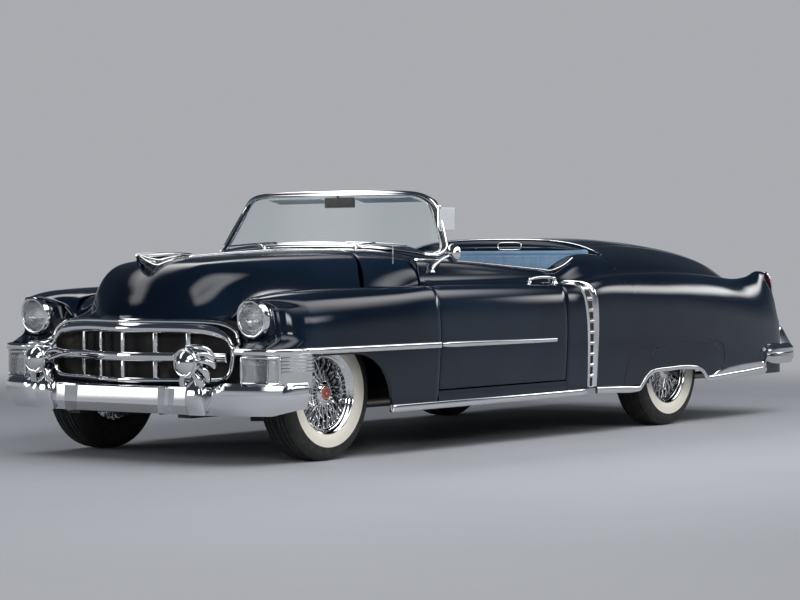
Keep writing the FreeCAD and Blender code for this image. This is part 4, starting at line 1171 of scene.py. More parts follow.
def headlampGlass():
    f = Finish("headlamp_glass")
    x, _, z = f.split(f.place())
    flutes = (x * 780).sine() * 0.5 + (z * 300).sine() * 0.25
    where = f.place()
    speck = f.noise(where, 60, 3)
    f.set(BaseColor=f.mix(speck.rise(0.4, 0.7), (0.93, 0.95, 0.96), (0.86, 0.88, 0.90)),
          TransmissionWeight=0.92, IOR=1.45)
    f.set(Roughness=0.03 + speck * 0.03, Normal=f.bump(flutes, 0.0016, 0.8))
    return f.material


lampGlass = headlampGlass()
reflector = chromePlate("lamp_reflector", (0.9, 0.9, 0.9), 0.12)


lampValues = {"headlight": (767, -478, 736), "tilt": 0.020, "lensEnd": 30, "ribs": 5, "ribStep": 17.5}


def lampsFront():
    centre = at(*lampValues["headlight"])
    rim = [(0.080, 0.094), (0.080, 0.0990), (0.040, 0.1005), (0.010, 0.1010), (-0.006, 0.1015),
           (-0.008, 0.1040), (-0.012, 0.1045), (-0.016, 0.1020), (-0.026, 0.0985), (-0.0325, 0.0920),
           (-0.0330, 0.0850), (-0.0295, 0.0800), (-0.0240, 0.0790), (0.0, 0.0790), (0.080, 0.094)]
    ringMade = bezelRing(centre, rim, lampValues["tilt"])
    smooth(ringMade, 50)
    bothSides(ringMade, "headlight_bezel", chrome, "body", "chrome", "headlights")
    lensLine = [(-0.0235, 0.0795)] + [(-0.0235 - 0.028 * (1 - (r / 0.0795) ** 2), r) for r in
                                      (0.076, 0.07, 0.062, 0.052, 0.042, 0.032, 0.022, 0.012, 0.0002)]
    inner = [(a + 0.003, r) for a, r in reversed(lensLine[:-1])]
    lens = lathe(lensLine + [(-0.0485, 0.0002)] + inner + lensLine[:1], centre, "Y", 72)
    smooth(lens, 60)
    bothSides(lens, "headlight_lens", lampGlass, "body", "lens_clear")
    bowl = [(-0.022, 0.079), (0.0, 0.074), (0.020, 0.062), (0.036, 0.044), (0.044, 0.024), (0.046, 0.012),
            (0.020, 0.010), (0.018, 0.0002)]
    mirror = lathe(bowl, centre, "Y", 48)
    smooth(mirror, 40)
    bothSides(mirror, "headlight_bowl", reflector, "body", "chrome")

    plan = curve([(738, -570), (800, -568), (872, -558), (925, -524), (952, -490), (972, -440), (986, -380),
                  (990, -308)], 8)
    lensEnd = lampValues["lensEnd"]
    lensPlan = plan[2:lensEnd]
    def lensPoint(u, v):
        p = pick(lensPlan, v)
        edge = min(1, min(v, 1 - v) * 9, min(u, 1 - u) * 5) ** 0.5
        away = Vector((p.x - 700, p.y + 300, 0)).normalized() * (3 + 11 * edge)
        return at(p.x + away.x, p.y + away.y, 422 + 120 * u)
    lens = sheet(14, len(lensPlan) - 1, lensPoint)
    outward(lens, at(700, -300, 480))
    apply(lens, "SOLIDIFY", thickness=0.003)
    smooth(lens, 50)
    bothSides(lens, "parking_lamp_lens", lampGlass, "body", "lens_clear")
    def board(plan, across, backwards, low, tall):
        def placed(u, v):
            p = pick(plan, v)
            return at(p.x + across, p.y + backwards, low + tall * u)
        return sheet(2, len(plan) - 1, placed)
    back = board(lensPlan, -6, 8, 414, 136)
    apply(back, "SOLIDIFY", thickness=0.002)
    bothSides(back, "parking_lamp_reflector", reflector, "body", "chrome")
    low, high = [(p.x, p.y, 417) for p in lensPlan], [(p.x, p.y, 547) for p in lensPlan]
    loop = low + [(*low[-1][:2], z) for z in (440, 482, 524)]
    loop += high[::-1] + [(*high[0][:2], z) for z in (524, 482, 440)]
    bezel = sweep([at(p[0] + 8, p[1] - 8, p[2]) for p in loop], ring(0.0085, 10, 0.8),
                  Vector((0.5, -1, 0.01)), closed=True)
    ribs = []
    for k in range(lampValues["ribs"]):
        z = 474 + lampValues["ribStep"] * k
        line = [at(p.x + 7, p.y - 2, z) for p in plan[lensEnd:]]
        ribs.append(sweep(line, capsule(0.009, 0.0048, 12)))
    plate = board(plan[lensEnd - 1:], 2, 0, 392, 166)
    apply(plate, "SOLIDIFY", thickness=0.003)
    whole = join([bezel, plate, *ribs])
    smooth(whole, 45)
    bothSides(whole, "parking_lamp_bezel", chrome, "body", "chrome", "parking_lamps")


spearValues = {"radius": (0.011, 0.0165), "height": 574}


def spear():
    high, shape = spearValues["height"], capsule(*spearValues["radius"], 16, 0.8)
    wrap = [(x, s, high) for x, s in ((735, -588), (800, -586), (872, -574), (932, -536), (972, -486),
                                      (994, -420))]
    side = [(sideX(s, high, fenderLine) + 3, s, high - 3 * (s + 349) / 1100)
            for s in (-349, -250, -100, 100, 300, 500, 732)]
    forward = sweep(placedLine(curve(wrap + side, 6)), shape)
    smooth(forward, 50)
    bothSides(forward, "fender_spear", chrome, "body", "chrome")
    line = curve([(sideX(s, 570, doorLine) + 3, s,
                   571 - 6 * (s - 745) / 1080) for s in (749, 1000, 1300, 1600, 1800, 1822)], 6)
    sizes = [0.98 - 0.28 * k / len(line) for k in range(len(line))]
    sizes[:3] = [0.6, 0.8, 0.92]
    sizes[-3:] = [0.6, 0.45, 0.2]
    rear = sweep(placedLine(line), shape, zAxis, sizes)
    smooth(rear, 50)
    bothSides(rear, "door_spear", chrome, "door_left", "chrome", otherBody="door_right")


grilleWork()
frontBumper()
lampsFront()
spear()
print("front bright work made")


def onQuarter(s, z, proud):
    return at(sideX(s, z, quarterLine) + proud, s, z)


sillValues = {"front": 352, "back": 2158}


def sillsAndTrim():
    steps = spaced(sillValues["front"], sillValues["back"], 50)
    shape = [(958, 234), (984, 234), (990, 240), (992, 256), (989, 270), (984, 273), (958, 273)]
    def placed(u, v):
        k = rowAt(v, steps)
        x, z = shape[round(u * len(shape)) % len(shape)]
        if v in (0, 1):
            x, z = 972, 255
        return at(x + 3, steps[k], z)
    strip = sheet(len(shape), len(steps) + 1, placed)
    apply(strip, "BEVEL", width=0.0015, segments=2, limit_method="ANGLE", angle_limit=math.radians(30))
    smooth(strip, 35)
    bothSides(strip, "sill_strip", chrome, "body", "chrome")
    across, heights = (760, 760, 958, 988, 990, 988, 870, 760), (328, 300, 250, 262, 276, 326, 328, 328)
    inner = sheet(7, 2, lambda u, v: at(pick(across, u), 742 + 1203 * v, pick(heights, u)))
    edit("SELECT", inner, (bpy.ops.mesh.edge_face_add, {}))
    smooth(inner, 35)
    bothSides(inner, "sill_panel", bodyPaint, "body", "paint", "side_sills")


mouldingValues = {"front": [(283, 2165), (500, 2150), (700, 2134), (800, 2124), (850, 2110), (900, 2082),
                            (950, 2042)],
                  "back": [(283, 2252), (500, 2250), (700, 2252), (790, 2252), (840, 2238), (890, 2192),
                           (920, 2140), (950, 2062)],
                  "slots": 9, "fold": 790}


def lineAt(points, z):
    for (z0, s0), (z1, s1) in zip(points, points[1:]):
        if z <= z1:
            t = max(0, (z - z0) / (z1 - z0))
            return s0 + (s1 - s0) * t
    return points[-1][1]


def rearMoulding():
    front, back = mouldingValues["front"], mouldingValues["back"]
    heights = spaced(283, 949, 18)
    def place(share, z, proud):           # above the fold, z goes on as a length up and over the crest
        s0, s1 = lineAt(front, z), lineAt(back, z)
        s, fold = s0 + (s1 - s0) * share, mouldingValues["fold"]
        if z <= fold:
            return onQuarter(s, z, proud)
        line = quarterLine(s)
        up = stretch(line, 0, fallsTo(line, fold))[::-1]
        left = z - fold
        for a, b in zip(up, up[1:]):
            step = math.dist(a, b)
            if step and left <= step:
                t = left / step
                out = Vector((a[1] - b[1], b[0] - a[0])).normalized() * -proud
                return at(a[0] + (b[0] - a[0]) * t + out.x, s, a[1] + (b[1] - a[1]) * t + out.y)
            left -= step
        return at(up[-1][0], s, up[-1][1] + proud)
    def strip(start, wide, rows, crown):
        return sheet(len(crown) - 1, len(rows) - 1,
                     lambda u, v: place(start + wide * u, pick(rows, v), pick(crown, u)))
    body = strip(0.50, 0.50, heights, [0, 8, 11, 13, 14, 13, 10, 0])
    lead = strip(0, 0.15, heights, [0, 9, 9, 0])
    rungs = [body, lead]
    rise = (850 - 283) / mouldingValues["slots"]
    for k in range(mouldingValues["slots"] + 1):
        z = 283 + rise * k
        tall = 26 if k else 16
        rungs.append(sheet(2, 3, lambda u, v: place(0.12 + 0.40 * u, z + tall * (v - 0.5),
                                                    pick([0, 8, 8, 0], v))))
    cap = [z for z in heights if z > 850]
    rungs.append(strip(0.10, 0.44, cap, [9] * 5))
    whole = join(rungs)
    outward(whole, at(700, 2190, 600))
    apply(whole, "SOLIDIFY", thickness=0.002, offset=-1.0)
    smooth(whole, 45)
    bothSides(whole, "rear_moulding", chrome, "body", "chrome", "side_scoops")
    low = [z for z in heights if z < 880]
    base = strip(0.08, 0.46, low, [2] * 3)
    bothSides(base, "rear_moulding_slots", innerBlack, "body", "dark_metal")


rearTrimValues = {"strip": (0.0085, 0.0205), "seam": 0.0019}


def rearTrim():
    line = curve([(0, 2256, 259), (0, 2500, 252), (0, 2700, 246), (0, 2745, 262), (0, 2800, 312),
                  (0, 2880, 346), (0, 3050, 352), (0, 3220, 354), (0, 3380, 342), (0, 3450, 318),
                  (0, 3502, 276), (0, 3560, 270), (0, 3800, 280), (0, 4000, 288), (0, 4250, 302)], 7)
    points = [at(max(bodyLine(p.y)[-1][0], sideX(p.y, max(p.z, 280), bodyLine)) + 1.5, p.y,
                 p.z) for p in line]
    sizes = [1.0 if p.y < 2700 else 0.62 if p.y < 3490 else 1.0 for p in line]
    sizes = [sum(sizes[max(0, i - 3):i + 4]) / len(sizes[max(0, i - 3):i + 4]) for i in range(len(sizes))]
    strip = sweep(points, capsule(*rearTrimValues["strip"], 14, 0.7), zAxis, sizes)
    smooth(strip, 50)
    bothSides(strip, "rear_sill_strip", chrome, "body", "chrome")
    tops = [(3560, 292), (3640, 316), (3760, 334), (3950, 346), (4169, 352), (4250, 348)]
    steps = spaced(3540, 4250, 35)
    def placed(u, v):
        s = pick(steps, v)
        z = 268 + (heightOn(tops, s, 280) - 268) * u
        x = bodyLine(s)[-1][0] if z < 280 else sideX(s, z, bodyLine)
        return at(x + pick([0, 4, 4.5, 4.5, 4, 0], u), s, z)
    plate = sheet(5, len(steps) - 1, placed)
    outward(plate, at(600, 3900, 300))
    apply(plate, "SOLIDIFY", thickness=0.002, offset=-1.0)
    smooth(plate, 45)
    bothSides(plate, "gravel_guard", chrome, "body", "chrome")
    seam = curve([(0, 2556, 284), (0, 2566, 340), (0, 2596, 410), (0, 2650, 460), (0, 2740, 486),
                  (0, 2900, 497), (0, 3240, 505), (0, 3560, 508), (0, 3640, 496), (0, 3684, 460),
                  (0, 3700, 400), (0, 3704, 352)], 6)
    groove = sweep([at(sideX(p.y, p.z, bodyLine) + 0.3, p.y, p.z) for p in seam],
                   ring(rearTrimValues["seam"], 8), xAxis)
    smooth(groove, 60)
    bothSides(groove, "skirt_seam", innerBlack, "body", "dark_metal")


beltValues = {"x": 813, "strip": (0.010, 0.0055)}


def beltStrips():
    line = [at(beltValues["x"], s, row(beltTable, s)[0] + 3) for s in spaced(780, 1936, 60)]
    strip = sweep(line, capsule(*beltValues["strip"], 12))
    smooth(strip, 50)
    bothSides(strip, "door_belt_strip", chrome, "door_left", "chrome", otherBody="door_right")
    rest = curve([(813, 1946, 960), (812, 2040, 953), (811, 2120, 966), (810, 2200, 990), (806, 2277, 1024)],
                 6)
    tail = sweep(placedLine(rest), capsule(*beltValues["strip"], 12))
    smooth(tail, 50)
    bothSides(tail, "quarter_belt_strip", chrome, "body", "chrome")


handleValues = {"bar": (0.0135, 0.0075), "swell": 0.35, "mirror": (900, 989, 1057)}


def doorFittings():
    bar = curve([(900, 1705, 893), (905, 1722, 908), (914, 1780, 915), (926, 1850, 915), (930, 1905, 910),
                 (930, 1922, 895)], 6)
    n = len(bar)
    handle = sweep(placedLine(bar), capsule(*handleValues["bar"], 16), zAxis,
                   [0.9 + handleValues["swell"] * math.sin(math.pi * k / (n - 1)) for k in range(n)])
    pads = [lathe([(-0.004, 0.0002), (-0.004, 0.017), (0.004, 0.0155), (0.008, 0.009), (0.009, 0.0002)],
                  at(901, 1708, 890), "Z", 24),
            lathe([(-0.006, 0.0002), (-0.006, 0.019), (0.003, 0.018), (0.007, 0.013), (0.010, 0.012),
                   (0.012, 0.0002)],
                  at(930, 1922, 884), "Z", 24)]
    whole = join([handle, *pads])
    smooth(whole, 45)
    bothSides(whole, "door_handle", chrome, "door_left", "chrome", otherBody="door_right")
    shell = [(-0.030, 0.0002), (-0.029, 0.012), (-0.024, 0.026), (-0.014, 0.039), (-0.002, 0.047),
             (0.004, 0.050), (0.008, 0.050), (0.009, 0.046), (0.006, 0.045), (0.005, 0.0002)]
    head = lathe(shell, at(*handleValues["mirror"]), "Y", 48)
    arm = sweep(curve([at(862, 853, 968), at(868, 880, 996), at(884, 930, 1028), at(897, 972, 1044)], 6),
                capsule(0.007, 0.0055, 12), zAxis, [1.5 - 0.5 * k / 18 for k in range(19)])
    foot = lathe([(-0.012, 0.0002), (-0.012, 0.020), (-0.002, 0.018), (0.004, 0.010), (0.005, 0.0002)],
                 at(861, 852, 966), "Z", 24)
    whole = join([head, arm, foot])
    smooth(whole, 45)
    named("door_mirror", chrome, "door_left", "chrome")


sillsAndTrim()
rearMoulding()
rearTrim()
beltStrips()
doorFittings()
print("side bright work made")


def screenPoint(x, z, proud=0.0):         # a place on the curved screen; proud is forwards
    h = (z - 1070) / 322
    side = -1 if x < 0 else 1
    base = profile([(0, 868), (420, 872), (770, 940), (812, 1078)], 10)
    head = profile([(0, 1061), (320, 1064), (620, 1100), (652, 1152)], 10)
    low, high = 0.0, 1.0
    for _ in range(24):
        t = (low + high) / 2
        a, b = along(base, t), along(head, t)
        if a[0] + (b[0] - a[0]) * h < abs(x):
            low = t
        else:
            high = t
    a, b = along(base, t), along(head, t)
    found = at((a[0] + (b[0] - a[0]) * h) * side, a[1] + (b[1] - a[1]) * h, z)
    ahead = Vector((0.0, -1.0, 0.35)) if abs(x) < 600 else Vector((side * (abs(x) - 600) / 200, -1.0, 0.3))
    return found + ahead.normalized() * proud * mm


screenLine = [(0, 1103), (200, 1101), (420, 1092), (600, 1077), (700, 1063), (760, 1050), (788, 1050),
              (799, 1068), (793, 1096), (764, 1158), (730, 1228), (694, 1296), (655, 1345), (592, 1375),
              (500, 1387), (350, 1392), (150, 1394), (0, 1394)]


def screenGlass():
    f = Finish("screen_glass")
    where = f.place()
    cloud = f.noise(where, 5, 2)
    f.set(BaseColor=f.mix(cloud, (0.90, 0.96, 0.95), (0.93, 0.98, 0.97)), TransmissionWeight=1.0, IOR=1.14)
    f.set(Roughness=cloud * 0.01)
    return f.material


glassClear = screenGlass()
gasket = satinMetal("black_gasket", (0.012, 0.012, 0.013), 0.6)


screenValues = {"outer": (0.0125, 0.0105), "inner": (0.0050, 0.0045), "back": (0.0080, 0.0070), "pane": 0.005,
                "visor": 0.006}


def windscreen():
    half = curve([(x, z, 0) for x, z in screenLine], 6)
    loop = [(p.x, p.y) for p in half[:-1]] + [(-p.x, p.y) for p in reversed(half[1:])]
    def band(proud, inwards, shape):
        moved = []
        for x, z in loop:
            away = Vector((x / 2.2, (z - 1235) * 1.2))
            away = away.normalized() if away.length else Vector((0, 1))
            moved.append((x - away.x * inwards, z - away.y * inwards))
        return sweep([screenPoint(x, z, proud) for x, z in moved], shape, Vector((0, -1, 0.4)), closed=True)
    outer = band(2, -2, capsule(*screenValues["outer"], 14, 0.7))
    inner = band(7, 13, capsule(*screenValues["inner"], 10))
    back = band(-12, 4, capsule(*screenValues["back"], 12))
    whole = join([outer, inner, back])
    smooth(whole, 50)
    named("windscreen_surround", chrome, "body", "chrome")
    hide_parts("windscreen_frame")
    seal = join([band(1, 9, capsule(0.0045, 0.0095, 10)), band(-2, -13, capsule(0.0045, 0.0085, 10))])
    smooth(seal, 50)
    named("windscreen_seal", gasket, "body", "tyre_rubber")

    turn = max(range(len(half)), key=lambda i: half[i].x)
    low, high = half[:turn + 1], half[turn:]
    def heightAt(line, x):
        for a, b in zip(line, line[1:]):
            if min(a.x, b.x) <= x <= max(a.x, b.x) and a.x != b.x:
                return a.y + (b.y - a.y) * (x - a.x) / (b.x - a.x)
        return line[-1].y
    edge = half[turn].x - 1
    def placed(u, v):
        x = edge * math.sin(math.pi * (u - 0.5))
        z0, z1 = heightAt(low, abs(x)), heightAt(high, abs(x))
        return screenPoint(x, z0 + (z1 - z0) * v, 0)
    pane = sheet(72, 14, placed)
    outward(pane, at(0, 1600, 1000))
    apply(pane, "SOLIDIFY", thickness=screenValues["pane"], offset=0)
    smooth(pane, 40)
    named("windscreen_pane", glassClear, "body", "glass")
    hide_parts("windscreen_glass")

    for side in (1, -1):
        pivot = at(side * 330, 862, 1094)
        tip = screenPoint(side * 640, 1098, 12)
        first = screenPoint(side * 250, 1116, 12)
        blade = sweep([first.lerp(tip, k / 8) + Vector((0, -0.003, 0.002 * math.sin(math.pi * k / 8)))
                       for k in range(9)],
                      capsule(0.0035, 0.006, 10), Vector((0, -1, 0.4)))
        arm = sweep([pivot, pivot + Vector((side * 0.02, -0.002, 0.012)),
                     first.lerp(tip, 0.5) + Vector((0, -0.010, 0.004))],
                    capsule(0.0045, 0.003, 10), Vector((0, -1, 0.4)), [1.5, 1.2, 0.8])
        knob = lathe([(-0.014, 0.0002), (-0.014, 0.015), (-0.002, 0.014), (0.006, 0.009), (0.008, 0.0002)],
                     pivot, "Z", 24)
        whole = join([blade, arm, knob])
        smooth(whole, 45)
        named("wiper_left" if side > 0 else "wiper_right", brightTrim, "body", "chrome")

    glassBack = block(at(-105, 1128, 1318), at(105, 1139, 1368), 0.009, 4)
    bracket = sweep([at(0, 1118, 1382), at(0, 1126, 1366), at(0, 1130, 1350)], capsule(0.007, 0.006, 10),
                    Vector((0, -1, 0)))
    rim = block(at(-109, 1136, 1314), at(109, 1143, 1372), 0.006, 3)
    whole = join([glassBack, bracket, rim])
    smooth(whole, 45)
    named("inside_mirror", gasket, "body", "chrome")
    block(at(-103, 1142, 1320), at(103, 1145, 1366), 0.001)
    named("inside_mirror_glass", reflector, "body", "chrome")
    def visor(name, board):
        apply(board, "SOLIDIFY", thickness=screenValues["visor"])
        apply(board, "BEVEL", width=0.0025, segments=2)
        smooth(board, 50)
        named(name, visorFilm(), "body", "glass")
    for side, name in ((1, "sun_visor_left"), (-1, "sun_visor_right")):
        visor(name, sheet(16, 8, lambda u, v: at(side * (120 + 400 * u), 1118 + 95 * v + 14 * u,
                                                 1368 - 22 * v)))
    visor("side_visor_left", sheet(12, 10, lambda u, v: at(742 + 4 * v, 1075 + 150 * u, 1178 + 128 * v)))
    join([block(at(736, 1068, 1296), at(752, 1092, 1316), 0.004),
          block(at(738, 1070, 1180), at(750, 1080, 1300), 0.003)])
    named("side_visor_bracket", chrome, "body", "chrome")
    mast = sweep([at(750, 660, 890), at(750, 660, 1000), at(750, 660, 1118)], ring(0.0022, 10), yAxis,
                 [1.3, 1, 0.7])
    base = lathe([(-0.006, 0.0002), (-0.006, 0.019), (0.002, 0.017), (0.014, 0.009), (0.030, 0.0055),
                  (0.046, 0.0040), (0.048, 0.0002)], at(750, 660, 889), "Z", 24)
    whole = join([mast, base])
    smooth(whole, 40)
    named("antenna", chrome, "body", "chrome")


def visorFilm():
    f = Finish("visor_panel")
    where = f.place()
    grain = f.noise(where, 160, 3)
    f.set(BaseColor=f.mix(grain, (0.70, 0.74, 0.76), (0.80, 0.82, 0.83)), Roughness=0.35 + grain * 0.1)
    f.set(Normal=f.bump(grain, 0.0004, 0.3), TransmissionWeight=0.45)
    return f.material


windscreen()
print("windscreen made")


ornamentValues = {"feather": (0.0095, 0.0048), "stem": (0.012, 0.022), "ridge": (0.0065, 0.004)}


def hoodTrim():
    rows = [(-521, 4, 1050, 1061), (-505, 11, 1044, 1065), (-470, 15, 1038, 1068), (-420, 18, 1032, 1070),
            (-360, 18, 1034, 1071), (-300, 16, 1038, 1071), (-240, 14, 1042, 1070), (-180, 11, 1045, 1068),
            (-130, 8, 1048, 1065), (-100, 4, 1050, 1062)]
    def placed(u, v):
        k = rowAt(v, rows)
        s, half, low, high = rows[k]
        turn = 2 * math.pi * u
        x, z = half * math.cos(turn), (low + high) / 2 + (high - low) / 2 * math.sin(turn)
        if v in (0, 1):
            x, z = 0, (low + high) / 2
        return at(x, s, z)
    bird = sheet(24, len(rows) + 1, placed)
    wings = [sweep(placedLine([(0, -392, 1004), (0, -420, 1024), (0, -444, 1046)]),
                   capsule(*ornamentValues["stem"], 14), Vector((0, -1, 0.4)))]
    feathers = [[(5, -514, 1057), (30, -474, 1022), (46, -430, 1004), (54, -370, 1018), (52, -300, 1036),
                 (40, -210, 1046)],
                [(5, -516, 1059), (32, -468, 1040), (50, -410, 1030), (56, -340, 1042), (48, -250, 1052),
                 (30, -170, 1054)],
                [(5, -518, 1060), (28, -466, 1058), (42, -400, 1058), (44, -320, 1062), (34, -220, 1062),
                 (14, -120, 1058)]]
    for side in (1, -1):
        for feather in feathers:
            line = curve([(side * x, s, z) for x, s, z in feather], 5)
            n = len(line) - 1
            sizes = [0.35 + 0.95 * math.sin(math.pi * min(1, 0.08 + k / n)) for k in range(n + 1)]
            wings.append(sweep(placedLine(line), capsule(*ornamentValues["feather"], 12), zAxis,
                               sizes))
    whole = join([bird, *wings])
    smooth(whole, 50)
    named("hood_ornament_wings", chrome, "hood", "chrome")
    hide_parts("hood_ornament")
    ridge = sweep([at(0, s, hoodCorners(s)[0][1] + 2) for s in spaced(-112, 690, 50)],
                  capsule(*ornamentValues["ridge"], 12))
    smooth(ridge, 50)
    named("hood_centre_strip", chrome, "hood", "chrome")


hoodTrim()
print("hood trim made")


def lampRed():
    f = Finish("lamp_red")
    z = f.split(f.place())[2]
    flutes = (z * 900).sine()
    cloud = f.noise(f.place(), 40, 3)
    f.set(BaseColor=f.mix(cloud, (0.55, 0.012, 0.010), (0.42, 0.008, 0.008)), Roughness=0.08 + cloud * 0.05,
          CoatWeight=0.8)
    # faint red glow painted into the unlit tail lamp lenses and the reflector dots: painted light
    f.set(EmissionColor=f.mix(cloud, (0.5, 0.01, 0.008), (0.4, 0.008, 0.006)), EmissionStrength=0.12)
    f.set(Normal=f.bump(flutes, 0.0012, 0.5))
    return f.material


def tailSkin():
    tops = [(4570, 2), (4573, 4), (4578, 14), (4581, 40)]
    def placed(u, v):
        x = -800 + 1600 * u
        top = deckHeight(4554, min(abs(x), 790))
        k = round(v * 12)
        if k < 4:
            s, z = tops[k][0], top - tops[k][1]
        else:
            z = (top - 40) + (296 - top + 40) * (k - 3) / 9
            s = 4581 + 6 * math.sin(math.pi * min(1, (k - 3) / 9))
        turn = clamp((abs(x) - 782) / 18)
        return at(x, s - (s - 4556) * turn ** 2.2, z)
    skin = sheet(120, 12, placed)
    outward(skin, at(0, 4000, 500))
    apply(skin, "SOLIDIFY", thickness=0.002, offset=-1.0)
    smooth(skin, 40)
    named("tail_skin", bodyPaint, "body", "paint")
    bar = sweep([at(0, s, deckHeight(s, 0) + 7 + lift) for s, lift in
                 ((4392, -5), (4400, 0), (4424, 5), (4456, 7), (4488, 5), (4508, 2), (4520, -4))],
                capsule(0.017, 0.0075, 14), zAxis, [0.5, 0.8, 0.95, 1.0, 0.95, 0.9, 0.6])
    lock = lathe([(-0.008, 0.0002), (-0.008, 0.019), (0.002, 0.018), (0.005, 0.012), (0.0055, 0.0002)],
                 at(0, 4534, deckHeight(4534, 0) + 2), "Z", 28)
    whole = join([bar, lock])
    smooth(whole, 50)
    named("trunk_handle", chrome, "trunk", "chrome")


tailLampValues = {"lens": 34, "bezel": 37, "bezelRadius": 0.0065, "cups": (732, 690)}


def tailLamps():
    heights = [905, 895, 880, 860, 835, 810, 790, 775, 765]
    def placed(u, v):
        k = round(v * (len(heights) - 1))
        z = heights[k]
        share = math.sqrt(max(0.02, 1 - ((z - 838) / 74) ** 2))
        turn = math.pi * u
        x = finMiddle(z) + 8 + tailLampValues["lens"] * share * math.cos(turn)
        return at(x, finBackAt(z, x) - 4 + 36 * share * max(0, math.sin(turn)) ** 0.8, z)
    lens = sheet(20, len(heights) - 1, placed)
    outward(lens, at(876, 4300, 838))
    smooth(lens, 60)
    bothSides(lens, "tail_lamp_lens", lampRed(), "body", "lens_red", "tail_lamps")
    loop = []
    for k in range(36):
        turn = 2 * math.pi * k / 36
        z = 835 + 80 * math.sin(turn)
        x = finMiddle(z) + 8 + tailLampValues["bezel"] * math.cos(turn)
        loop.append(at(x, finBackAt(z, x) + 1, z))
    parts = [sweep(loop, ring(tailLampValues["bezelRadius"], 10), Vector((0, 1, 0.4)), closed=True)]
    cupLine = [(-0.006, 0.016), (-0.006, 0.022), (0.010, 0.0225), (0.016, 0.019), (0.012, 0.016),
               (-0.006, 0.016)]
    upper, lower = [at(finMiddle(z) + 14, finBackAt(z, finMiddle(z) + 14) + 2,
                       z) for z in tailLampValues["cups"]]
    whole = join([*parts, *[lathe(cupLine, centre, "Y", 32) for centre in (upper, lower)]])
    smooth(whole, 50)
    bothSides(whole, "tail_lamp_bezel", chrome, "body", "chrome")
    small = lathe([(-0.004, 0.0002), (-0.004, 0.017), (0.008, 0.016), (0.015, 0.009), (0.016, 0.0002)], upper,
                  "Y", 32)
    smooth(small, 50)
    bothSides(small, "backing_lamp_lens", lampGlass, "body", "lens_clear")
    dot = lathe([(-0.004, 0.0002), (-0.004, 0.017), (0.006, 0.016), (0.011, 0.009), (0.012, 0.0002)], lower,
                "Y", 32)
    smooth(dot, 50)
    bothSides(dot, "tail_reflector", lampRed(), "body", "lens_red")


def finMiddle(z):
    inner = 790 + 66 * (z - 610) / 310
    outer = 960 - 28 * (z - 560) / 140 if z < 700 else 932 - 44 * (z - 700) / 212
    return (inner + outer) / 2


rearBumperValues = {"wrap": [(0, 4729), (300, 4729), (600, 4727), (760, 4720), (850, 4708), (910, 4680),
                             (950, 4634), (980, 4580), (998, 4500), (1008, 4400), (1012, 4300), (1013, 4216)]}


def rearSection(x, s):                    # tapers to a blunt point at its front ends
    t = clamp((8000 - s - 4216) / 150)
    size = 0.38 + 0.62 * math.sqrt(t * (2 - t))
    bulge = 16 * clamp((abs(x) - 930) / 60)
    line = [(-46, 334), (-20, 330), (-4, 333), (3, 352), (5 + bulge, 380), (2 + bulge, 398),
            (-3 + bulge, 404), (2 + bulge, 412), (3 + bulge * 0.8, 430), (-4, 452), (-18, 460), (-44, 458),
            (-50, 440), (-50, 350)]
    return [(-50 + (a + 50) * (0.4 + 0.6 * size), 392 + (z - 392) * size) for a, z in line]


def rearBumper():
    points = [(x, 2 * 4000 - s) for x, s in rearBumperValues["wrap"]]
    blade = bumperBlade("rear_bumper_blade", points, rearSection)
    for vertex in blade.data.vertices:
        vertex.co.y = 2 * (frontAxleY + 4.0) - vertex.co.y
    edit("SELECT", blade, (bpy.ops.mesh.normals_make_consistent, {"inside": False}))
    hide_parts("rear_bumper")
    podRows = [(334, 0.72, 0.5), (345, 0.9, 0.85), (375, 1.0, 1.0), (420, 1.0, 1.0), (460, 0.92, 0.94),
               (500, 0.78, 0.80), (540, 0.66, 0.66), (566, 0.50, 0.50), (580, 0.30, 0.30), (586, 0.10, 0.10)]
    def placed(u, v):
        k = rowAt(v, podRows)
        z, wide, deep = podRows[k]
        turn = 2 * math.pi * u
        a, b = math.cos(turn), math.sin(turn)
        if v in (0, 1):
            a = b = 0
        x = 884 + 68 * wide * math.copysign(abs(a) ** 0.75, a)
        lean = 100 * max(0, (z - 400) / 184) ** 0.9
        return at(x, 4612 + 104 * deep * math.copysign(abs(b) ** 0.75, b) - lean, z)
    pod = sheet(40, len(podRows) + 1, placed)
    collar = lathe([(-0.012, 0.026), (-0.012, 0.038), (0.006, 0.0395), (0.012, 0.036), (0.010, 0.031),
                    (-0.010, 0.026), (-0.012, 0.026)], at(874, 4708, 395), "Y", 40)
    whole = join([pod, collar])
    smooth(whole, 50)
    bothSides(whole, "bumper_pod", chrome, "body", "chrome")
    hole = lathe([(-0.006, 0.0002), (-0.006, 0.0305), (0.004, 0.0305), (0.002, 0.0002)], at(874, 4712, 395),
                 "Y", 40)
    bothSides(hole, "exhaust_port", innerBlack, "body", "dark_metal")


tailSkin()
tailLamps()
rearBumper()
print("rear bright work made")


def leather(name, colour):
    f = Finish(name)
    where = f.place()
    tone = f.noise(where, 4, 4, 0.6)
    wrinkle = f.noise(where, 46, 5, 0.65)
    pores = f.node("ShaderNodeTexVoronoi", {"feature": "DISTANCE_TO_EDGE"}, {"Vector": where, "Scale": 420})
    worn = tuple(min(1, c * 1.25 + 0.02) for c in colour)
    shade = f.mix(tone.rise(0.35, 0.7), colour, worn)
    f.set(BaseColor=f.mix(pores.rise(0.0, 0.09), tuple(c * 0.7 for c in colour), shade))
    f.set(Roughness=0.38 + wrinkle.rise(0.4, 0.8) * 0.2, SpecularIORLevel=0.4)
    f.set(Normal=f.bump(pores.rise(0.0, 0.12) + wrinkle * 1.4, 0.0005, 0.6))
    return f.material


